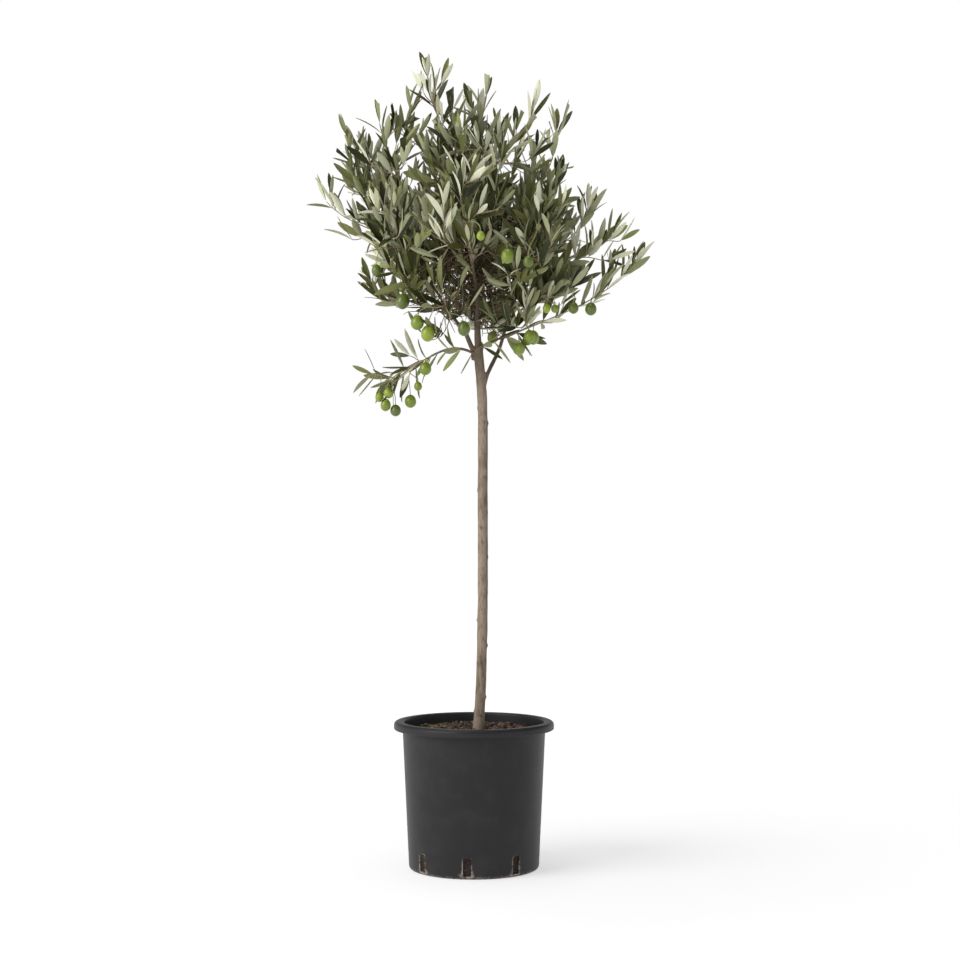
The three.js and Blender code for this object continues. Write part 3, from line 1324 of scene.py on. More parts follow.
@dataclass
class Framework:
    """The trunk and boughs, with the arms that they grow on into the crown."""

    voxel: float = 0.9 * MM
    knots: int = 23
    arms: dict[str, Branch] = field(default_factory=dict)

    def __post_init__(self) -> None:
        """Measures the CAD limbs and the heart of the crown."""
        low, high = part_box("trunk")
        steps = round((high.z - low.z) / (12 * MM))
        self.trunk = Branch.measured("trunk", Vector((0, 0, low.z)), Vector((0, 0, high.z)), steps)
        self.trunk.run_on(10 * MM, 6 * MM)
        self.boughs = {
            name: Branch.measured(name, start, end, 9)
            for name, (start, end) in {
                "leader_bough": self.span("leader_bough", 1, 1),
                "left_bough": self.span("left_bough", -1, 1),
                "right_bough": self.span("right_bough", 1, 1),
                "low_left_bough": self.span("low_left_bough", -1, -1),
                "low_right_bough": self.span("low_right_bough", 1, 1),
            }.items()
        }
        heart_low, heart_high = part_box("heart")
        self.spring = Vector(
            ((heart_low.x + heart_high.x) / 2, (heart_low.y + heart_high.y) / 2, heart_low.z + 50 * MM)
        )
        self.rng = random.Random(SEED + " framework")

    @staticmethod
    def span(node: str, side: int, rise: int) -> tuple[Vector, Vector]:
        """Finds a bough's foot and tip in its box.

        Args:
            node: The bough's node.
            side: 1 if it runs to the right, and -1 if it runs to the left.
            rise: 1 if it rises, and -1 if its tip is the lower end.

        Returns:
            The foot and the tip.
        """
        low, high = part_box(node)
        xs = (low.x, high.x) if side > 0 else (high.x, low.x)
        zs = (low.z, high.z) if rise > 0 else (high.z, low.z)
        middle = (low.y + high.y) / 2
        return Vector((xs[0], middle, zs[0])), Vector((xs[1], middle, zs[1]))

    def grow_arms(self, masses: dict[str, Mass]) -> None:
        """Grows the three boughs on into the crown.

        Args:
            masses: The masses of foliage by node.
        """
        for name, aim in zip(UPPER_BOUGHS, ("crown_top", "left_shoulder", "right_shoulder")):
            bough = self.boughs[name]
            bough.run_on(12 * MM, 0)
            tip, heading = bough.line[-1], bough.heading(len(bough.line) - 1)
            goal = masses[aim].middle.lerp(self.spring, 0.25)
            reach = (goal - tip).length
            bend = Vector((self.rng.uniform(-1, 1), self.rng.uniform(-1, 1), 0)) * 9 * MM
            first, last = tip + heading * 0.4 * reach, goal - UP * 0.3 * reach + bend
            points = (tip - heading * 3 * MM, first, last, goal)
            self.arms[name] = Branch.curved(points, bough.radii[-1], 1.3 * MM, 8 * MM)
        for name in LOW_BOUGHS:
            self.boughs[name].run_on(7 * MM, 0)
            self.arms[name] = self.boughs[name]

    def build(self) -> bpy.types.Object:
        """Joins the limbs into one skin and raises the bark's relief on it.

        Returns:
            The trunk and boughs.
        """
        limbs = [self.trunk, *self.boughs.values(), *(self.arms[name] for name in UPPER_BOUGHS)]
        mesh = tubes("limbs", limbs, 10)
        holder = bpy.data.objects.new("limbs", mesh)
        bpy.context.scene.collection.objects.link(holder)
        skin = holder.modifiers.new("skin", "REMESH")
        skin.mode, skin.voxel_size, skin.adaptivity = "VOXEL", self.voxel, 0.0
        bpy.context.view_layer.update()
        made = holder.evaluated_get(bpy.context.evaluated_depsgraph_get())
        done = bpy.data.meshes.new_from_object(made)
        done.name = "trunk_and_boughs_mesh"
        bpy.data.objects.remove(holder)
        work = bmesh.new()
        work.from_mesh(done)
        for _ in range(3):
            bmesh.ops.smooth_vert(
                work, verts=work.verts, factor=0.5, use_axis_x=True, use_axis_y=True, use_axis_z=True
            )
        work.normal_update()
        knots = self.knot_places()
        for vert, normal in [(v, v.normal.copy()) for v in work.verts]:
            vert.co += normal * self.relief(vert.co, normal, knots)
        work.to_mesh(done)
        work.free()
        done.materials.clear()
        # The limbs' bark has shade painted on it from a little below the crown's foot.
        done.materials.append(Bark(crown=self.spring.z - 50 * MM).material())
        smooth(done, 70)
        return show("trunk_and_boughs", done, LIMB_NODES)

    def knot_places(self) -> list[tuple[Vector, Vector, float]]:
        """Returns the knots on the trunk, as a point on the bark, the way it faces and its size.

        Returns:
            The knots.
        """
        places = []
        length = self.trunk.length()
        for i in range(self.knots):
            distance = length * (i + self.rng.uniform(0.2, 0.8)) / self.knots
            point, heading = self.trunk.at(distance)
            turn = Matrix.Rotation(i * GOLDEN_TURN + self.rng.uniform(-0.4, 0.4), 3, heading)
            out = turn @ heading.orthogonal().normalized()
            places.append((point + out * 8 * MM, out, self.rng.uniform(0.8, 1.9) * MM))
        return places

    @staticmethod
    def relief(place: Vector, normal: Vector, knots: list[tuple[Vector, Vector, float]]) -> float:
        """Works out the bark's relief.

        Args:
            place: A point on the limb.
            normal: The way the surface faces there.
            knots: The trunk's knots.

        Returns:
            How far the bark stands out.
        """
        streak = noise.noise(Vector((place.x * 420, place.y * 420, place.z * 62)))
        swell = noise.noise(place * 36)
        height = 0.16 * MM * streak + 0.42 * MM * swell
        for point, out, size in knots:
            gap = place - point
            along = gap.z
            if abs(along) > 12 * MM or normal.dot(out) < 0:
                continue
            across = (gap - UP * along).length
            height += size * math.exp(-((along / (3.2 * MM)) ** 2) - (across / (4.2 * MM)) ** 2)
        return height


# ---- crown ---------------------------------------------------------------------------------------


class Habit(Enum):
    """How a mass's shoots grow: how far they turn up, and the least and most that leaves do."""

    RISING = (0.7, 0.35, 1.15)
    SPREADING = (0.3, 0.4, 1.2)
    ARCHING = (-0.12, -0.9, 1.0)
    HANGING = (-0.12, -1.8, -0.1)

    @property
    def lift(self) -> float:
        """Returns how far the shoots turn up."""
        return self.value[0]

    def pull(self, rng: random.Random) -> float:
        """Returns how far a leaf turns up."""
        return rng.uniform(*self.value[1:])


@dataclass(frozen=True)
class Sprig:
    """How thickly a mass is grown with shoots, and where they fork from."""

    room: float = 0.062  # litres of the mass to each side shoot
    habit: Habit = Habit.RISING
    parent: str = ""
    inset: float = 34 * MM
    internode: tuple[float, float] = (16 * MM, 26 * MM)
    leafy: float = 0.95
    overhang: float = 16 * MM
    extra: tuple[tuple[float, float, float], ...] = ()  # more shoot tips, as shares of the mass's box
    shade: tuple[int, ...] = (14, 24, 30, 20, 12)  # how common each upper tint is, the deepest first; more deep ones paint shade
    down: tuple[int, ...] = (34, 40, 26)  # how common each under tint is, the palest first; more dull ones paint shade
    stout: float = 1.0  # how thick its first shoot is, against the others


PLUME = Sprig(room=0.1, inset=38 * MM, internode=(22 * MM, 34 * MM), overhang=24 * MM)
SPRAY = Sprig(
    room=0.1, habit=Habit.SPREADING, inset=40 * MM, internode=(15 * MM, 24 * MM), overhang=24 * MM
)
SPRIGS = {
    # Deep tints and dull undersides: painted shade in the crown's heart.
    "heart": Sprig(room=0.06, leafy=0.6, shade=(46, 34, 20, 0, 0), down=(0, 30, 70)),
    # Deep tints and dull undersides: painted shade low at the front.
    "front_low": Sprig(
        room=0.07,
        leafy=0.8,
        overhang=18 * MM,
        extra=((0.1, 0.5, 0.08), (0.22, 0.45, 0.0), (0.32, 0.5, 0.04)),
        shade=(34, 34, 22, 10, 0),
        down=(4, 32, 64),
    ),
    # Deep tints: painted shade low on the right.
    "right_low": Sprig(
        room=0.045,
        overhang=20 * MM,
        extra=((-0.12, 0.4, -0.02), (0.02, 0.3, -0.04), (0.12, 0.45, -0.1), (0.22, 0.35, -0.06)),
        shade=(34, 34, 22, 8, 2),
        down=(8, 36, 56),
    ),
    # Deep tints: painted shade low at the front right.
    "front_right": Sprig(shade=(24, 30, 28, 14, 4), down=(12, 38, 50)),
    "right_shoulder": Sprig(extra=((0.45, 0.4, 0.92), (0.8, 0.5, 0.86))),
    # Deep tints and dull undersides: painted shade low at the back.
    "back_low": Sprig(room=0.05, shade=(40, 34, 20, 6, 0), down=(4, 32, 64)),
    "left_low": Sprig(room=0.09, overhang=8 * MM),
    "front_centre": Sprig(
        overhang=32 * MM,
        extra=((0.35, 0.75, 1.18), (0.65, 0.7, 1.15), (0.5, 0.5, 1.08), (0.85, 0.6, 1.02)),
    ),
    "back_centre": Sprig(
        overhang=32 * MM,
        extra=((0.3, 0.25, 1.2), (0.62, 0.3, 1.22), (0.8, 0.45, 1.1), (0.45, 0.55, 1.05)),
    ),
    "crown_top": Sprig(extra=((0.93, 0.45, 0.55), (0.9, 0.6, 0.72), (0.86, 0.4, 0.84))),
    "top_left_plume": Sprig(
        room=0.16,
        inset=46 * MM,
        internode=(24 * MM, 38 * MM),
        extra=((0.12, 0.4, 0.4), (0.02, 0.6, 0.2), (0.75, 0.6, 0.4)),
        stout=1.5,
    ),
    "top_centre_plume": replace(PLUME, inset=24 * MM, extra=((0.2, 0.4, 0.6),), stout=2.0),
    "top_right_plume": replace(
        PLUME, extra=((0.12, 0.5, 0.4), (0.3, 0.6, 0.25), (0.75, 0.5, 0.4), (0.6, 0.4, 0.1))
    ),
    "upper_left_plume": replace(PLUME, extra=((0.12, 0.4, 0.3), (0.82, 0.5, 0.85), (0.95, 0.5, 0.6))),
    "upper_right_plume": PLUME,
    "left_spray": Sprig(
        room=0.16, habit=Habit.SPREADING, inset=34 * MM, internode=(17 * MM, 26 * MM), overhang=22 * MM
    ),
    "left_shoulder_spray": replace(SPRAY, inset=56 * MM, extra=((0.12, 0.5, 0.1), (0.35, 0.4, 0.05))),
    "right_upper_spray": SPRAY,
    "right_mid_spray": replace(
        SPRAY, room=0.12, inset=30 * MM, extra=((0.85, 0.5, 0.55), (0.7, 0.5, 0.15))
    ),
    "low_left_spray": Sprig(
        room=0.07,
        habit=Habit.ARCHING,
        parent="low_left_bough",
        inset=42 * MM,
        overhang=38 * MM,
        shade=(4, 14, 28, 30, 24),
    ),
    "low_right_spray": Sprig(
        room=0.045,
        habit=Habit.SPREADING,
        parent="low_right_bough",
        inset=22 * MM,
        internode=(21 * MM, 30 * MM),
        overhang=36 * MM,
        extra=((0.7, 0.4, 0.8), (0.84, 0.55, 0.8)),
        shade=(20, 28, 28, 16, 8),
        down=(22, 46, 32),
    ),
}
FULL_MASSES = (
    "crown_top",
    "left_shoulder",
    "right_shoulder",
    "right_low",
    "front_centre",
    "front_left",
    "front_right",
    "back_centre",
    "back_left",
    "back_right",
    "back_low",
)
GROUPS = {
    "leaves_front": ("front_centre", "front_left", "front_right", "front_low"),
    "leaves_back": ("back_centre", "back_left", "back_right", "back_low"),
    "leaves_left": (
        "left_shoulder",
        "left_low",
        "left_spray",
        "left_shoulder_spray",
        "upper_left_plume",
    ),
    "leaves_right": (
        "right_shoulder",
        "right_low",
        "right_upper_spray",
        "right_mid_spray",
        "upper_right_plume",
    ),
    "leaves_top": ("crown_top", "top_left_plume", "top_centre_plume", "top_right_plume"),
    "leaves_heart": ("heart",),
    "leaves_low_left_spray": ("low_left_spray",),
    "leaves_low_right_spray": ("low_right_spray",),
}


@dataclass
class LeafShape:
    """A leaf, 1 long, from its stalk to its tip.

    It is a thin lens that folds along its midrib and curls along its length.
    """

    curl: float
    fold: float
    cut: bool = False
    half_width: float = 0.102
    thickness: float = 0.014

    ROWS = (0.0, 0.07, 0.14, 0.28, 0.46, 0.66, 0.84, 0.95, 1.0)
    WIDTHS = (0.09, 0.11, 0.36, 0.74, 0.98, 0.97, 0.68, 0.32, 0.0)
    CUT_ROWS = (0.0, 0.07, 0.16, 0.36, 0.6, 0.86)
    CUT_WIDTHS = (0.09, 0.11, 0.36, 0.76, 1.05, 1.28)

    def build(self) -> Pattern:
        """Shapes the leaf: its upper face is marked 0 and its underside 1.

        Returns:
            The leaf, to repeat.
        """
        rows = self.CUT_ROWS if self.cut else self.ROWS
        widths = self.CUT_WIDTHS if self.cut else self.WIDTHS
        work = bmesh.new()
        bmesh.ops.create_grid(work, x_segments=2, y_segments=len(rows) - 1, size=1.0)
        for vert in work.verts:
            row = round((vert.co.y + 1) / 2 * (len(rows) - 1))
            side = round(vert.co.x)
            along = rows[row]
            x = side * widths[row] * self.half_width
            lift = abs(x) * self.fold - self.curl * along * along
            slant = 0.05 * side if self.cut and row == len(rows) - 1 else 0.0
            vert.co = Vector((x, along + slant, lift))
        upper = list(work.faces)
        doubled = bmesh.ops.duplicate(work, geom=[*work.verts, *work.edges, *work.faces])["geom"]
        under = [f for f in doubled if isinstance(f, bmesh.types.BMFace)]
        bmesh.ops.reverse_faces(work, faces=under)
        for face in under:
            face.material_index = 1
        for face in upper:
            face.material_index = 0
        for vert in [v for v in doubled if isinstance(v, bmesh.types.BMVert)]:
            if abs(vert.co.x) < 1e-6:
                vert.co.z -= self.thickness
        bmesh.ops.remove_doubles(work, verts=work.verts, dist=1e-5)
        return Pattern.taken(work)


@dataclass
class Leaf:
    """One leaf: its stalk's foot, the way it points, the way its upper face looks, and its size."""

    place: Vector
    along: Vector
    upper: Vector
    length: float
    width: float
    cut: bool
    tints: tuple[int, int]

    def matrix(self) -> Matrix:
        """Returns the leaf's place, turn and size.

        Returns:
            All three as one matrix.
        """
        side = self.along.cross(self.upper).normalized()
        upper = side.cross(self.along).normalized()
        turn = Matrix((side, self.along, upper)).transposed().to_4x4()
        sizes = Matrix.Diagonal((self.length * self.width, self.length, self.length, 1.0))
        return Matrix.Translation(self.place) @ turn @ sizes


@dataclass
class Crown:
    """The crown: shoots that fork off the arms into every mass, with their leaves and twiglets."""

    framework: Framework
    margin: float = 14 * MM
    depth: float = 18 * MM
    bare_heart: float = 36 * MM
    leaf_length: tuple[int, int, int] = (34, 62, 49)  # least, greatest and usual, in millimetres
    splay: tuple[int, int, int] = (52, 17, 13)  # at the foot, how much less at the tip, spread: degrees
    tuft_length: tuple[int, int] = (28, 46)  # in millimetres
    tuft_splay: tuple[int, int] = (8, 24)  # in degrees
    twiglet_length: tuple[int, int] = (22, 62)  # in millimetres
    tangle: float = 105 * MM  # how far from the spring the bare twiglets start
    twiglets: int = 640
    fills: int = 10
    crowd: int = 8

    def __post_init__(self) -> None:
        """Measures the masses."""
        self.masses = {node: Mass(node) for node in MASS_NODES}
        self.shoots: dict[str, list[Branch]] = {}
        self.bare: list[Branch] = []
        self.leaves: dict[str, list[Leaf]] = {}

    def outside(self, point: Vector) -> float:
        """Returns how far a point is outside every mass, and less than 0 inside one.

        Args:
            point: The point.

        Returns:
            The distance.
        """
        low, high = CAD_BOX
        if any(p < a - self.margin or p > b + self.margin for p, a, b in zip(point, low, high)):
            return math.inf
        return min(mass.outside(point) for mass in self.masses.values())

    def fork(self, parents: list[Branch], goal: Vector, rng: random.Random) -> tuple[Branch, int]:
        """Chooses where a shoot forks off: near its goal, and at a narrow angle.

        Args:
            parents: The branches that it may fork from.
            goal: Where its tip is to be.
            rng: The source of chance.

        Returns:
            The branch, and the number of its point.
        """
        best, least = (parents[0], 0), math.inf
        for parent in parents:
            for i in range(1, len(parent.line) - 1):
                gap = goal - parent.line[i]
                if gap.length < 16 * MM:
                    continue
                angle = parent.heading(i).angle(gap)
                cost = gap.length * (1 + 1.3 * max(0.0, angle - 0.6)) * rng.uniform(0.9, 1.1)
                if cost < least:
                    best, least = (parent, i), cost
        return best

    def shoot(
        self, parents: list[Branch], goal: Vector, habit: Habit, rng: random.Random, stout: float = 1.0
    ) -> Branch:
        """Grows a shoot from the best place on its parents to a goal.

        Args:
            parents: The branches that it may fork from.
            goal: Where its tip is.
            habit: How it bends.
            rng: The source of chance.
            stout: How thick it is, against the others.

        Returns:
            The shoot.
        """
        parent, index = self.fork(parents, goal, rng)
        start, heading = parent.line[index], parent.heading(index)
        gap = goal - start
        reach, way = gap.length, gap.normalized()
        first = (heading * 0.7 + way * 0.5).normalized()
        stray = Vector([rng.uniform(-0.16, 0.16) for _ in range(3)])
        last = (way + UP * habit.lift + stray).normalized()
        wobble = Vector([rng.uniform(-1, 1) for _ in range(3)]) * 0.05 * reach
        leave, arrive = start + first * 0.36 * reach + wobble, goal - last * 0.36 * reach - wobble
        points = (start, leave, arrive, goal)
        foot = min(0.85 * parent.radii[index], stout * (1.0 * MM + 0.01 * reach))
        return Branch.curved(points, foot, min(foot, stout * 0.75 * MM), 8 * MM)

    def grow(self) -> None:
        """Grows every mass's shoots, nearest the spring first, then the leaves and the bare twiglets."""
        spring = self.framework.spring
        arms = self.framework.arms
        order = sorted(self.masses.values(), key=lambda m: (m.middle - spring).length)
        for mass in order:
            rng = random.Random(f"{SEED} {mass.node}")
            sprig = SPRIGS.get(mass.node, Sprig())
            parents = [arms[name] for name in ((sprig.parent,) if sprig.parent else UPPER_BOUGHS)]
            leader = self.shoot(parents, mass.tip(spring, sprig.inset), sprig.habit, rng, sprig.stout)
            grown = [leader]
            count = max(2, round(mass.volume * 1000 / sprig.room))
            goals = [*mass.spread(count, self.depth, rng), *(mass.point(*share) for share in sprig.extra)]
            for goal in sorted(goals, key=lambda p: (p - leader.line[0]).length):
                grown.append(self.shoot(grown, goal, sprig.habit, rng))
            self.shoots[mass.node] = grown
            leaves = [leaf for branch in grown for leaf in self.leafed(branch, sprig, rng)]
            self.leaves[mass.node] = leaves
            if sprig.parent:
                free = replace(
                    sprig, habit=Habit.HANGING, overhang=math.inf, internode=(17 * MM, 25 * MM), leafy=3.2
                )
                self.leaves[mass.node] += self.leafed(parents[0], free, rng)
        self.fill_gaps()
        self.grow_twiglets()

    def leafed(self, branch: Branch, sprig: Sprig, rng: random.Random) -> list[Leaf]:
        """Sets a shoot's leaves.

        They grow in opposite pairs, each turned a quarter from the one below, with a tuft at the tip.

        Args:
            branch: The shoot.
            sprig: How its mass grows.
            rng: The source of chance.

        Returns:
            The leaves.
        """
        upper = rng.choices(range(len(Upper)), sprig.shade)[0]
        under = rng.choices(range(len(Under)), sprig.down)[0]
        length = branch.length()
        distance = rng.uniform(0.1, 0.3) * min(length, 0.12)
        turn = rng.uniform(0, math.pi)
        tints = (upper, under)
        foot_splay, narrowing, scatter = self.splay
        leaves: list[Leaf] = []
        while distance < length:
            place, heading = branch.at(distance)
            share = distance / length
            bare = (place - self.framework.spring).length < self.bare_heart
            if not bare and self.outside(place) < 10 * MM + sprig.overhang:
                for side in (0.0, math.pi):
                    if rng.random() < sprig.leafy * self.leafiness(place):
                        splay = math.radians(rng.gauss(foot_splay - narrowing * share, scatter))
                        size = rng.triangular(*self.leaf_length) * MM * (1 - 0.12 * share)
                        leaves += self.set_leaf(
                            place, heading, turn + side, splay, size, sprig, tints, rng
                        )
            turn += math.pi / 2 + rng.uniform(-0.25, 0.25)
            distance += rng.uniform(*sprig.internode)
        place, heading = branch.at(length)
        for i in range(2):
            splay = math.radians(rng.uniform(*self.tuft_splay))
            size = rng.uniform(*self.tuft_length) * MM
            leaves += self.set_leaf(
                place, heading, turn + i * math.pi, splay, size, sprig, tints, rng
            )
        return leaves

    def set_leaf(
        self,
        place: Vector,
        heading: Vector,
        turn: float,
        splay: float,
        length: float,
        sprig: Sprig,
        tints: tuple[int, int],
        rng: random.Random,
    ) -> list[Leaf]:
        """Sets one leaf, shorter where it would stand too far out of the crown.

        Args:
            place: Where its stalk starts.
            heading: The way the shoot runs there.
            turn: Its angle round the shoot.
            splay: Its angle away from the shoot.
            length: Its length.
            sprig: How its mass grows.
            tints: The numbers of its shoot's upper and under tints.
            rng: The source of chance.

        Returns:
            The leaf, or nothing where it has no room.
        """
        out = Matrix.Rotation(turn, 3, heading) @ heading.orthogonal().normalized()
        along = heading * math.cos(splay) + out * math.sin(splay)
        along = (along + UP * sprig.habit.pull(rng)).normalized()
        face = heading * 0.7 + UP * 0.25 - out * 0.6 + Vector([rng.gauss(0, 0.35) for _ in range(3)])
        width = rng.uniform(0.75, 1.2)
        for shrink in (1.0, 0.8, 0.64):
            if self.outside(place + along * length * shrink) < sprig.overhang:
                high = place.z > 0.84 * CAD_BOX[1][2]
                cut = high and rng.random() < 0.16
                return [Leaf(place, along, face, length * shrink, width, cut, tints)]
        return []

    def fill_gaps(self) -> None:
        """Grows more shoots into the emptiest places of the full masses, a few at a time."""
        rng = random.Random(SEED + " gaps")
        masses = [self.masses[name] for name in FULL_MASSES]
        shares = [mass.volume for mass in masses]
        sprig = Sprig()
        for _ in range(self.fills):
            leaves = [leaf for found in self.leaves.values() for leaf in found]
            tree = KDTree(len(leaves))
            for i, leaf in enumerate(leaves):
                tree.insert(leaf.place + leaf.along * leaf.length / 2, i)
            tree.balance()
            spots = []
            for mass in rng.choices(masses, shares, k=600):
                point = mass.point(rng.random(), rng.random(), rng.random())
                if mass.outside(point) < 2 * MM and self.leafiness(point) > 0.7:
                    spots.append((len(tree.find_range(point, 28 * MM)), point, mass.node))
            spots.sort(key=lambda spot: spot[0])
            chosen: list[Vector] = []
            for crowd, point, node in spots:
                apart = all((point - other).length > 40 * MM for other in chosen)
                if crowd <= self.crowd and apart and len(chosen) < 14:
                    chosen.append(point)
                    goal = point - (point - self.framework.spring).normalized() * 14 * MM
                    branch = self.shoot(self.shoots[node], goal, sprig.habit, rng)
                    self.shoots[node].append(branch)
                    self.leaves[node] += self.leafed(branch, sprig, rng)

    def leafiness(self, place: Vector) -> float:
        """Returns the share of leaves that grow at a place.

        Few grow low down near the stem, where the twigs show.

        Args:
            place: The place.

        Returns:
            The share, at most 1.
        """
        gap = place - self.framework.spring
        near = math.hypot(gap.x + 10 * MM, gap.y * (0.28 if gap.y < 0 else 0.6)) / (70 * MM)
        high = (gap.z - 25 * MM) / (60 * MM)
        return min(1.0, 0.18 + 0.9 * max(near, high, 0.0) ** 2)

    def grow_twiglets(self) -> None:
        """Fills the heart with a tangle of fine bare twiglets."""
        rng = random.Random(SEED + " twiglets")
        nodes = ("heart",) * 3 + ("front_low", "back_low", "left_low")
        nodes += ("front_centre", "front_left", "front_right")
        low, high = self.masses["heart"].low, self.masses["heart"].high
        while len(self.bare) < self.twiglets:
            stem = rng.choice(self.shoots[rng.choice(nodes)])
            index = rng.randrange(1, len(stem.line) - 1)
            start = stem.line[index]
            if start.z > high.z - 20 * MM or (start.xy - self.framework.spring.xy).length > self.tangle:
                continue
            turn = Vector([rng.gauss(0, 1) for _ in range(3)]).normalized()
            way = (stem.heading(index) * 0.5 + turn + UP * 0.25).normalized()
            reach = rng.uniform(*self.twiglet_length) * MM
            goal = start + way * reach
            if goal.z < low.z - 12 * MM or self.outside(goal) > 4 * MM:
                continue
            kink = Vector([rng.uniform(-0.22, 0.22) for _ in range(3)]) * reach
            first, last = start.lerp(goal, 0.35) + kink, start.lerp(goal, 0.7) - kink * 0.6
            points = (start, first, last, goal)
            twig = Branch.curved(points, rng.triangular(0.6, 1.9, 0.8) * MM, 0.4 * MM, 7 * MM)
            self.bare.append(twig)

    def build(self) -> None:
        """Makes the pieces: twigs, twiglets and the leaves of each side."""
        shoots = [branch for grown in self.shoots.values() for branch in grown]
        heart = tuple(self.framework.spring)
        # The shoots' bark has shade painted on it near the crown's heart.
        bark = Bark("shoot", tone(172, 154, 130), tone(128, 112, 88), tone(96, 80, 60), heart=heart)
        self.wood("twigs", shoots, 1, bark)
        bare_bark = Bark("twiglet", tone(100, 86, 62), tone(62, 52, 36), tone(34, 28, 19))
        self.wood("bare_twiglets", self.bare, 0, bare_bark)
        shapes = [LeafShape(curl, fold).build() for curl in (-0.1, 0.05, 0.16) for fold in (0.12, 0.42)]
        clipped = LeafShape(0.04, 0.15, cut=True).build()
        finishes = [tint.value for tint in (*Upper, *Under)]
        for name, nodes in GROUPS.items():
            rng = random.Random(SEED + name)
            copies = Copies()
            for leaf in (leaf for node in nodes for leaf in self.leaves[node]):
                shape = clipped if leaf.cut else rng.choice(shapes)
                upper, under = leaf.tints
                copies.add(shape, leaf.matrix(), (upper, len(Upper) + under))
            show(name, copies.mesh(name + "_mesh", finishes, 65), nodes)

    @staticmethod
    def wood(name: str, branches: list[Branch], sides: int, finish: Bark) -> None:
        """Makes one piece of twigs.

        Args:
            name: The piece's name.
            branches: The twigs.
            sides: How round they are.
            finish: Their bark.
        """
        mesh = tubes(name + "_mesh", branches, sides)
        mesh.materials.append(finish.material())
        smooth(mesh, 60)
        show(name, mesh)


# ---- fruit ---------------------------------------------------------------------------------------


@dataclass(frozen=True)
class Cluster:
    """Some olives that hang together, at a place in a mass's box."""

    mass: str
    at: tuple[float, float, float]
    sizes: tuple[float, ...]  # each olive's length in millimetres
    fruit: Fruit = Fruit.GREEN
    spread: float = 11 * MM


# BRIGHT clusters have painted light, and SHADED clusters painted shade.
CLUSTERS = (
    Cluster("left_low", (0.6, 0.12, 0.25), (24,), Fruit.SHADED),
    Cluster("left_low", (0.31, 0.2, 0.79), (18,), Fruit.SHADED),
    Cluster("front_low", (0.05, 0.4, 0.22), (22,), Fruit.GREEN),
    Cluster("front_low", (0.19, 0.42, 0.08), (24,), Fruit.BRIGHT),
    Cluster("front_low", (0.68, 0.4, 0.14), (22,), Fruit.SHADED),
    Cluster("low_left_spray", (0.9, 0.25, 0.6), (20,), Fruit.GREEN),
    Cluster("low_left_spray", (0.27, 0.4, 0.18), (15,), Fruit.BRIGHT),
    Cluster("low_left_spray", (0.4, 0.3, 0.24), (17,), Fruit.BRIGHT),
    Cluster("low_left_spray", (0.36, 0.25, 0.06), (19,), Fruit.GREEN),
    Cluster("low_left_spray", (0.49, 0.3, -0.02), (18,), Fruit.SHADED),
    Cluster("low_left_spray", (0.69, 0.4, 0.12), (20,), Fruit.GREEN),
    Cluster("low_left_spray", (0.79, 0.35, 0.34), (14,), Fruit.GREEN),
    Cluster("low_right_spray", (0.06, 0.35, -0.06), (22, 21, 20, 18, 17), Fruit.GREEN, 12 * MM),
    Cluster("right_low", (0.45, 0.12, 0.17), (14,), Fruit.BRIGHT),
    Cluster("right_low", (0.54, 0.15, 0.17), (13,), Fruit.GREEN),
    Cluster("right_low", (0.75, 0.2, 0.19), (18,), Fruit.SHADED),
    Cluster("right_low", (0.95, 0.25, 0.18), (20,), Fruit.SHADED),
    Cluster("front_centre", (0.66, 0.02, 0.3), (14,), Fruit.BRIGHT),
    Cluster("front_right", (0.25, 0.02, 0.29), (22,), Fruit.GREEN),
    Cluster("front_right", (0.5, 0.02, 0.24), (17,), Fruit.SHADED),
    Cluster("back_left", (0.4, 0.7, 0.25), (19, 17), Fruit.GREEN),
    Cluster("back_right", (0.55, 0.75, 0.2), (20,), Fruit.SHADED),
    Cluster("back_low", (0.5, 0.6, 0.05), (20, 18), Fruit.GREEN),
    Cluster("back_centre", (0.45, 0.85, 0.3), (18,), Fruit.BRIGHT),
)


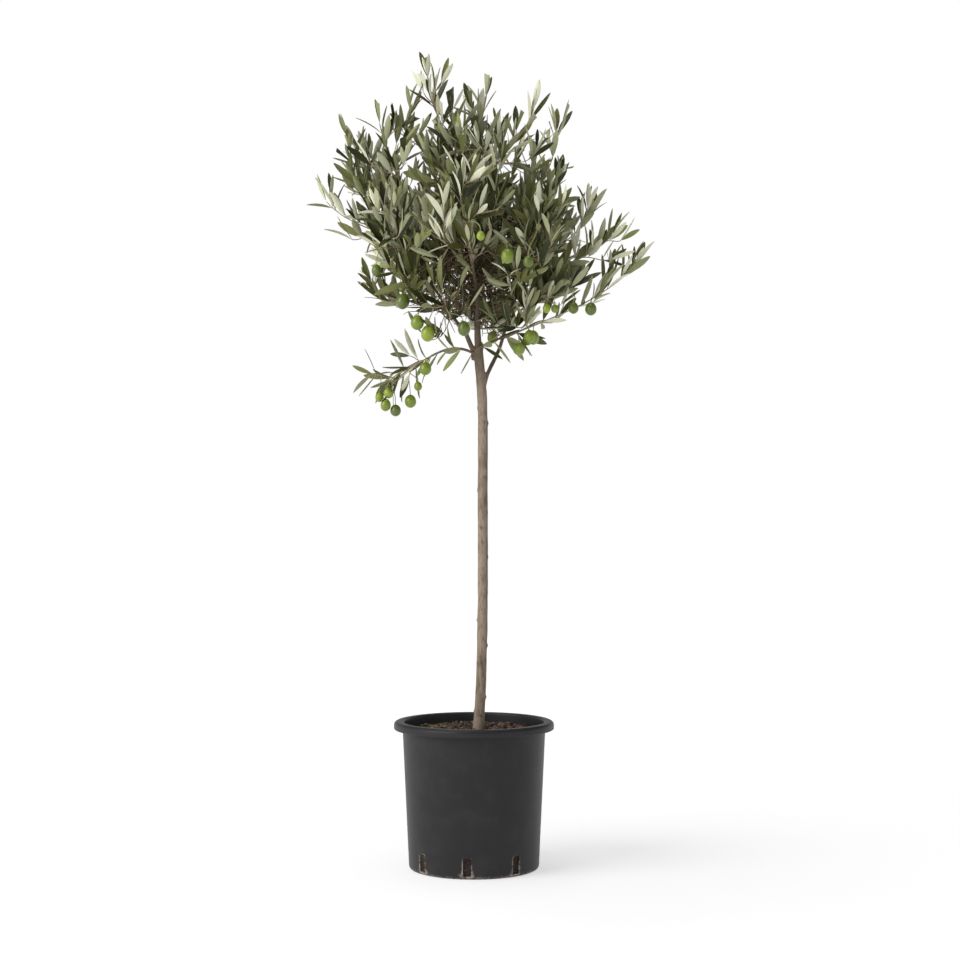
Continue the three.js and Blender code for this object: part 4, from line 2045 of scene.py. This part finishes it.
@dataclass
class OliveCrop:
    """The olives and their stalks."""

    crown: Crown

    def build(self) -> None:
        """Hangs every cluster from the nearest shoots above it."""
        olive = self.olive()
        olives, stalks = Copies(), []
        rng = random.Random(SEED + " olives")
        wood = [b for grown in self.crown.shoots.values() for b in grown]
        wood += [self.crown.framework.arms[name] for name in LOW_BOUGHS]
        for cluster in CLUSTERS:
            centre = self.crown.masses[cluster.mass].point(*cluster.at)
            for i, size in enumerate(cluster.sizes):
                turn = GOLDEN_TURN * i + rng.uniform(0, 0.6)
                off = Vector((math.cos(turn), 0.6 * math.sin(turn), 0.9 * math.sin(turn * 1.7)))
                middle = centre + (off * cluster.spread if len(cluster.sizes) > 1 else Vector())
                top = middle + UP * 0.47 * size * MM
                stalk = self.stalk(top, wood, rng)
                stalks.append(stalk)
                hang = (top - stalk.line[-2]).normalized().lerp(-UP, 0.55).normalized()
                self.hang(olives, olive, top, hang, size * MM, cluster.fruit, rng)
        finishes = [fruit.value for fruit in Fruit]
        show("olives", olives.mesh("olives_mesh", finishes, 80))
        mesh = tubes("olive_stalks_mesh", stalks, 1)
        green_bark = Bark("stalk", tone(150, 150, 104), tone(118, 120, 78), tone(96, 88, 58))
        mesh.materials.append(green_bark.material())
        smooth(mesh, 60)
        show("olive_stalks", mesh)

    @staticmethod
    def olive() -> Pattern:
        """Returns an olive, 1 long, that hangs down from its stalk at the origin.

        Returns:
            The olive.
        """
        work = bmesh.new()
        bmesh.ops.create_icosphere(work, subdivisions=3, radius=0.5)
        for vert in work.verts:
            z = vert.co.z
            plump = 0.84 * (1 - 0.16 * z - 0.12 * max(0.0, -2 * z) ** 4)
            dimple = 0.035 * math.exp(-((vert.co.xy.length / 0.09) ** 2)) if z > 0 else 0.0
            vert.co = Vector((vert.co.x * plump, vert.co.y * plump, z - 0.5 - dimple))
        return Pattern.taken(work)

    @staticmethod
    def hang(
        olives: Copies,
        olive: Pattern,
        top: Vector,
        way: Vector,
        size: float,
        fruit: Fruit,
        rng: random.Random,
    ) -> None:
        """Adds one olive.

        Args:
            olives: Where it is added.
            olive: The shape.
            top: Where its stalk ends.
            way: The way it hangs.
            size: Its length.
            fruit: Its tint, from the plain green and its copies with painted light and painted shade.
            rng: The source of chance.
        """
        turn = (-UP).rotation_difference(way).to_matrix().to_4x4()
        turn = turn @ Matrix.Rotation(rng.uniform(0, 6), 4, "Z")
        plump = size * rng.uniform(0.95, 1.06)
        sizes = Matrix.Diagonal((plump, plump, size, 1.0))
        olives.add(olive, Matrix.Translation(top) @ turn @ sizes, (list(Fruit).index(fruit),))

    def stalk(self, top: Vector, wood: list[Branch], rng: random.Random) -> Branch:
        """Makes a stalk down to an olive's top from the nearest wood above it.

        Args:
            top: The olive's top.
            wood: The branches.
            rng: The source of chance.

        Returns:
            The stalk.
        """
        def cost(point: Vector) -> float:
            """Returns how little a point suits: far off, hardly above the olive, or far aside."""
            gap = point - top
            return gap.length + (0.06 if gap.z < 6 * MM else 0.0) + 0.7 * math.hypot(gap.x, gap.y)

        start = min((p for branch in wood for p in branch.line), key=cost)
        reach = (top - start).length
        out = Vector((rng.uniform(-1, 1), rng.uniform(-1, 1), 0)) * 0.12 * reach
        first = start.lerp(top, 0.3) + out + UP * 0.05 * reach
        points = (start, first, top + UP * 0.4 * reach, top - UP * 0.4 * MM)
        return Branch.curved(points, 0.75 * MM, 0.6 * MM, 4 * MM)


# ---- studio --------------------------------------------------------------------------------------


@dataclass
class Studio:
    """The pale floor, the soft lights and the camera."""

    eye: tuple[float, float, float] = (0.009, -3.0, 0.581)
    lens: float = 75.0
    floor_size: float = 14.0

    def build(self) -> None:
        """Sets the stage round the plant."""
        work = bmesh.new()
        bmesh.ops.create_grid(work, x_segments=1, y_segments=1, size=self.floor_size / 2)
        mesh = bpy.data.meshes.new("floor_mesh")
        work.to_mesh(mesh)
        work.free()
        mesh.materials.append(Backdrop().material())
        floor = bpy.data.objects.new("floor", mesh)
        bpy.context.scene.collection.objects.link(floor)
        self.lamp("key", (-2.9, -1.8, 2.4), 2.6, 116.0)
        self.lamp("fill", (2.6, -2.4, 1.6), 2.4, 1.5)
        self.lamp("top", (-0.3, 0.2, 3.6), 2.2, 50.0)
        bpy.context.scene.world = self.sky()
        bpy.context.scene.view_settings.view_transform = "Standard"
        self.camera()

    @staticmethod
    def sky() -> bpy.types.World:
        """Makes the surroundings: white round the horizon and dim above.

        Returns:
            The world.
        """
        world = bpy.data.worlds.new("studio")
        world.use_nodes = True
        tree = world.node_tree
        background = tree.nodes["Background"]
        way = tree.nodes.new("ShaderNodeTexCoord")
        split = tree.nodes.new("ShaderNodeSeparateXYZ")
        height = tree.nodes.new("ShaderNodeMath")
        height.operation = "ABSOLUTE"
        fade = tree.nodes.new("ShaderNodeMapRange")
        for name, value in {"From Min": 0.25, "From Max": 0.38, "To Min": 1.0, "To Max": 0.14}.items():
            fade.inputs[name].default_value = value
        background.inputs["Color"].default_value = (1.0, 1.0, 1.0, 1.0)
        tree.links.new(way.outputs["Generated"], split.inputs[0])
        tree.links.new(split.outputs[2], height.inputs[0])
        tree.links.new(height.outputs[0], fade.inputs["Value"])
        tree.links.new(fade.outputs[0], background.inputs["Strength"])
        return world

    @staticmethod
    def lamp(name: str, place: tuple[float, float, float], size: float, power: float) -> None:
        """Adds a soft light that faces the plant.

        Args:
            name: The light's name.
            place: Where it is.
            size: The side of its square panel.
            power: Its power in watts.
        """
        light = bpy.data.lights.new(name, "AREA")
        light.size, light.energy = size, power
        holder = bpy.data.objects.new(name, light)
        holder.location = place
        aim = Vector((0.0, 0.0, 0.6)) - Vector(place)
        holder.rotation_euler = aim.to_track_quat("-Z", "Y").to_euler()
        bpy.context.scene.collection.objects.link(holder)

    def camera(self) -> None:
        """Adds the camera, level, in front of the plant."""
        camera = bpy.data.cameras.new("camera")
        camera.lens, camera.sensor_width = self.lens, 36.0
        holder = bpy.data.objects.new("camera", camera)
        holder.location = self.eye
        holder.rotation_euler = (math.pi / 2, 0.0, 0.0)
        bpy.context.scene.collection.objects.link(holder)
        bpy.context.scene.camera = holder


def main() -> None:
    """Builds the plant and the studio round it."""
    logging.basicConfig(level=logging.INFO, format="%(name)s %(message)s")
    Studio().build()
    NurseryPot().build()
    PottingSoil().build()
    framework = Framework()
    crown = Crown(framework)
    framework.grow_arms(crown.masses)
    framework.build()
    crown.grow()
    crown.build()
    OliveCrop(crown).build()
    leaves = sum(len(found) for found in crown.leaves.values())
    LOG.info("%d shoots, %d leaves", sum(len(s) for s in crown.shoots.values()), leaves)


if __name__ == "__main__":
    main()
